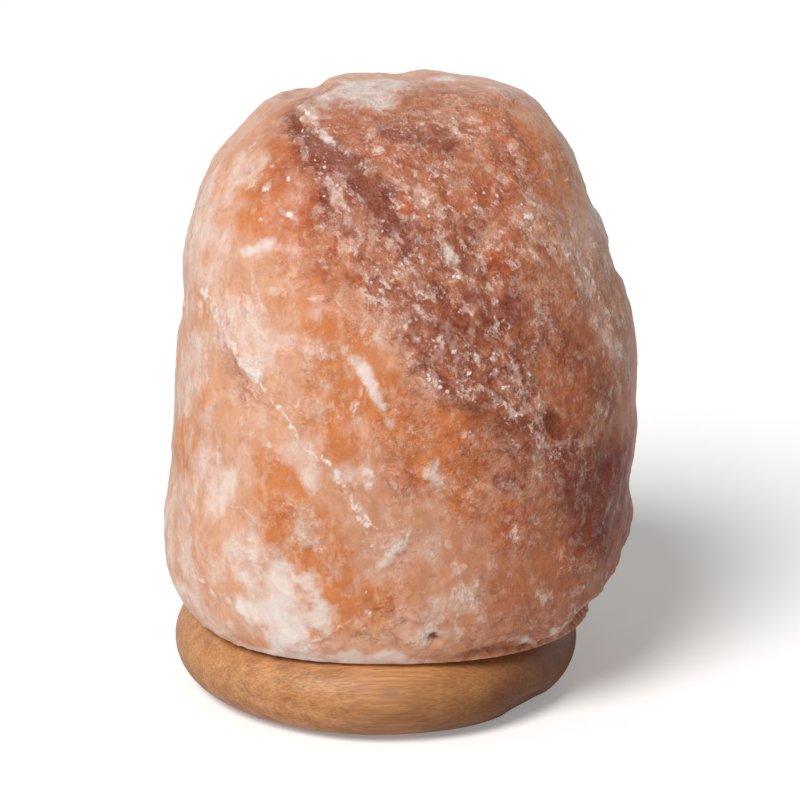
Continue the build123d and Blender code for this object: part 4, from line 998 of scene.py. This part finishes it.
# ---------------------------------------------------------------- operators
class SALTLAMP_OT_stage(bpy.types.Operator):
    """Lays the floor and sets the lights, the white surround and the camera"""

    bl_idname = "salt_lamp.stage"
    bl_label = "Stage"

    def execute(self, context):
        settings = context.scene.salt_lamp_lights
        scene = context.scene
        scene.view_settings.view_transform = "Standard"
        self.camera(scene)
        self.surround(scene, settings)
        self.floor(scene, settings)
        self.key_light(scene, settings)
        return {"FINISHED"}

    def camera(self, scene):
        """A long lens at the photograph's angle."""
        data = bpy.data.cameras.new("camera")
        data.sensor_width = SENSOR
        data.lens = LENS
        data.clip_start, data.clip_end = CAMERA_SEES
        camera = bpy.data.objects.new("camera", data)
        scene.collection.objects.link(camera)
        right, up, forward = camera_axes()
        turn = Matrix((right, up, -forward)).transposed()
        camera.matrix_world = Matrix.Translation(camera_place()) @ turn.to_4x4()
        scene.camera = camera

    def surround(self, scene, settings):
        """A white room: it lights the lamp evenly, and the camera, gloss and glass see plain white."""
        world = bpy.data.worlds.new("white_room")
        world.use_nodes = True
        world.node_tree.nodes.clear()
        add = partial(add_node, world.node_tree)
        path = add("LightPath")
        seen = add("Math", {0: path.outputs["Is Camera Ray"], 1: path.outputs["Is Transmission Ray"]},
                   operation="MAXIMUM")
        seen = add("Math", {0: seen, 1: path.outputs["Is Glossy Ray"]}, operation="MAXIMUM")
        strength = add("MapRange", {"Value": seen, "To Min": settings.fill_strength, "To Max": 1.0})
        add("OutputWorld", {"Surface": add("Background", {"Color": (1, 1, 1, 1), "Strength": strength})})
        scene.world = world

    def floor(self, scene, settings):
        """White paper, lifted to plain white where the camera sees it, under the lamp's own shadow.

        From below it can't be seen, so that the underside and what is pulled out of it can.
        """
        material, add = new_material("studio_paper_white")
        dim = add("BsdfDiffuse", {"Color": linear("#ededec")})
        paper = add("BsdfDiffuse", {"Color": (1, 1, 1, 1)})
        glow = add("Emission", {"Color": linear("#fffdfb"), "Strength": settings.floor_lift})
        shown = add("AddShader", {0: paper, 1: glow})
        camera_ray = add("LightPath").outputs["Is Camera Ray"]
        shown = add("MixShader", {0: camera_ray, 1: dim, 2: shown})
        below = add("NewGeometry").outputs["Backfacing"]
        add("OutputMaterial", {"Surface": add("MixShader", {0: below, 1: shown, 2: add("BsdfTransparent")})})
        shape = bmesh.new()
        bmesh.ops.create_grid(shape, x_segments=1, y_segments=1, size=FLOOR_REACH)
        mesh = bpy.data.meshes.new("floor")
        shape.to_mesh(mesh)
        shape.free()
        mesh.materials.append(material)
        floor = bpy.data.objects.new("floor", mesh)
        scene.collection.objects.link(floor)

    def key_light(self, scene, settings):
        """A soft light, far enough away to light the whole floor alike."""
        data = bpy.data.lights.new("key", "SUN")
        data.angle = KEY_SPREAD
        data.energy = settings.key_strength
        light = bpy.data.objects.new("key", data)
        scene.collection.objects.link(light)
        away = direction(KEY_BEARING, KEY_RISE)
        light.location = away
        light.rotation_euler = away.to_track_quat("Z", "Y").to_euler()


class SALTLAMP_OT_crystal(bpy.types.Operator):
    """Carves the salt crystal over the drilled rock of the frame"""

    bl_idname = "salt_lamp.crystal"
    bl_label = "Salt crystal"

    def execute(self, context):
        settings = context.scene.salt_lamp_rock
        points, normals, mesh = remeshed("salt_crystal", settings.voxel)
        carve(points, normals, mesh, settings)
        new_piece("crystal", mesh, "base", "salt", rock_salt(settings), "salt_crystal")
        return {"FINISHED"}


class SALTLAMP_OT_wooden_base(bpy.types.Operator):
    """Finishes the turned wooden base, with its worn edge and shade painted on its right side"""

    bl_idname = "salt_lamp.wooden_base"
    bl_label = "Wooden base"

    def execute(self, context):
        settings = context.scene.salt_lamp_wood
        points, normals, mesh = remeshed("wood_base", settings.voxel)
        wood = surface_tree(points, mesh)
        moved = strayed(points, 18 * MM, 4 * MM, 1, 2)
        # Painted shade on the base's right side and lower edge
        store(mesh, "painted_wood_shade", mark_share(moved, PAINTED_SHADE_ON_WOOD, wood, MISTY)[0])
        store(mesh, "smudge", mark_share(points, SMUDGES, wood, FIRM)[0])
        rim = smoothstep(*RIM, np.hypot(points[:, 0], points[:, 1]))
        height = rim * (mark_share(points, DENTS, wood, FIRM)[1] * MM
                        + settings.unevenness * noise_at(points, 26 * MM, 9.0, 2))
        place_points(mesh, points + normals * height[:, None], BASE_LOW, BASE_HIGH)
        new_piece("turned_base", mesh, "base", "wood", turned_wood(settings), "wood_base")
        return {"FINISHED"}


class SALTLAMP_OT_felt_foot(bpy.types.Operator):
    """Lays the felt foot under the base, with a soft matted skin"""

    bl_idname = "salt_lamp.felt_foot"
    bl_label = "Felt foot"

    def execute(self, context):
        settings = context.scene.salt_lamp_felt
        points, normals, mesh = remeshed("felt_ring", settings.voxel)
        nap = settings.nap * (noise_at(points, 1.5 * MM, 4.0, 2) - 1)
        place_points(mesh, points + normals * nap[:, None], *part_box("felt_ring"))
        new_piece("felt_foot", mesh, "base", "felt", felt_cloth(settings.colour), "felt_ring")
        return {"FINISHED"}


class SALTLAMP_OT_fixings(bpy.types.Operator):
    """Finishes the screws and the wall plugs that hold the crystal"""

    bl_idname = "salt_lamp.fixings"
    bl_label = "Screws and plugs"

    def execute(self, context):
        dress(finished("screw_steel"), "crystal_screws")
        dress(finished("nylon"), "wall_plugs")
        return {"FINISHED"}


class SALTLAMP_OT_lampholder(bpy.types.Operator):
    """Finishes the mounting disc with its springs, and the lampholder on it"""

    bl_idname = "salt_lamp.lampholder"
    bl_label = "Lampholder"

    def execute(self, context):
        dress(finished("plated_steel"), "mounting_disc", "wing_rivets", "nipple_nut")
        dress(finished("spring_steel"), "spring_wing_1", "spring_wing_2", "spring_wing_3")
        dress(finished("bush_plastic"), "inlet_bush")
        dress(finished("holder_plastic"), "holder_cup", "holder_sleeve")
        dress(finished("porcelain"), "holder_insert")
        dress(finished("brass"), "nipple", "terminal_screws", "side_contact", "centre_contact", "screw_shell")
        return {"FINISHED"}


class SALTLAMP_OT_bulb(bpy.types.Operator):
    """Finishes the bulb, and winds its filament"""

    bl_idname = "salt_lamp.bulb"
    bl_label = "Bulb"

    def execute(self, context):
        settings = context.scene.salt_lamp_bulb
        wire = finished("tungsten")
        dress(finished("nickel"), "bulb_cap")
        dress(finished("black_glass"), "cap_insulator")
        dress(finished("solder"), "cap_contact")
        dress(finished("clear_glass"), "bulb_glass", "glass_stem", "filament_support")
        dress(wire, "lead_wires")
        new_piece("coiled_filament", self.coil(settings), "bulb_cap", "tungsten", wire, "filament")
        return {"FINISHED"}

    def coil(self, settings):
        """Fine wire wound round the bow that the frame draws as one thin arc."""
        low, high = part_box("filament")
        radius = (high.y - low.y) / 2 - settings.wire / 2
        reach, rise = (high.x - low.x) / 2 - radius, high.z - low.z - 2 * radius
        bow = (reach ** 2 + rise ** 2) / (2 * rise)
        swing = math.asin(reach / bow)
        turn = 2 * math.pi / settings.corners
        shape = bmesh.new()
        middle = Vector((0, 0, high.z - radius - bow))
        steps = settings.turns * settings.corners
        rings = []
        for step in range(steps + 1):
            circle = bmesh.ops.create_circle(
                shape, segments=WIRE_SIDES, radius=settings.wire / 2)["verts"]
            lean = swing * (2 * step / steps - 1)
            place = Matrix.Translation(middle) @ Matrix.Rotation(lean, 4, "Y")
            place = place @ Matrix.Translation((0, 0, bow)) @ Matrix.Rotation(step * turn, 4, "X")
            bmesh.ops.transform(shape, matrix=place @ Matrix.Translation((0, 0, radius)), verts=circle)
            rings.append(circle)
        for first, second in zip(rings, rings[1:]):
            edges = {edge for vert in (*first, *second) for edge in vert.link_edges
                     if edge.other_vert(vert) in (first if vert in first else second)}
            bmesh.ops.bridge_loops(shape, edges=list(edges))
        bmesh.ops.holes_fill(shape, edges=[edge for edge in shape.edges if edge.is_boundary])
        bmesh.ops.recalc_face_normals(shape, faces=shape.faces)
        mesh = bpy.data.meshes.new("coil")
        shape.to_mesh(mesh)
        shape.free()
        for face in mesh.polygons:
            face.use_smooth = True
        return mesh


class SALTLAMP_PT_sidebar(bpy.types.Panel):
    """Lists the operators and their settings"""

    bl_label = "Salt crystal lamp"
    bl_space_type = "VIEW_3D"
    bl_region_type = "UI"
    bl_category = "Salt lamp"

    def draw(self, context):
        for operator in OPERATORS:
            self.layout.operator(operator.bl_idname)
        for group in SETTINGS:
            settings = getattr(context.scene, group)
            box = self.layout.box()
            for name in settings.__annotations__:
                box.prop(settings, name)


OPERATORS = (
    SALTLAMP_OT_stage, SALTLAMP_OT_crystal, SALTLAMP_OT_wooden_base, SALTLAMP_OT_felt_foot,
    SALTLAMP_OT_fixings, SALTLAMP_OT_lampholder, SALTLAMP_OT_bulb,
)
SETTINGS = {
    "salt_lamp_rock": RockSettings, "salt_lamp_wood": WoodSettings, "salt_lamp_felt": FeltSettings,
    "salt_lamp_bulb": BulbSettings, "salt_lamp_lights": LightSettings,
}


def register():
    for cls in (*SETTINGS.values(), *OPERATORS, SALTLAMP_PT_sidebar):
        bpy.utils.register_class(cls)
    for name, cls in SETTINGS.items():
        setattr(bpy.types.Scene, name, bpy.props.PointerProperty(type=cls))


def unregister():
    for name in SETTINGS:
        delattr(bpy.types.Scene, name)
    for cls in (SALTLAMP_PT_sidebar, *reversed(OPERATORS), *reversed(SETTINGS.values())):
        bpy.utils.unregister_class(cls)


def main():
    register()
    for operator in OPERATORS:
        group, name = operator.bl_idname.split(".")
        getattr(getattr(bpy.ops, group), name)()
    bpy.context.view_layer.update()


if __name__ == "__main__":
    main()
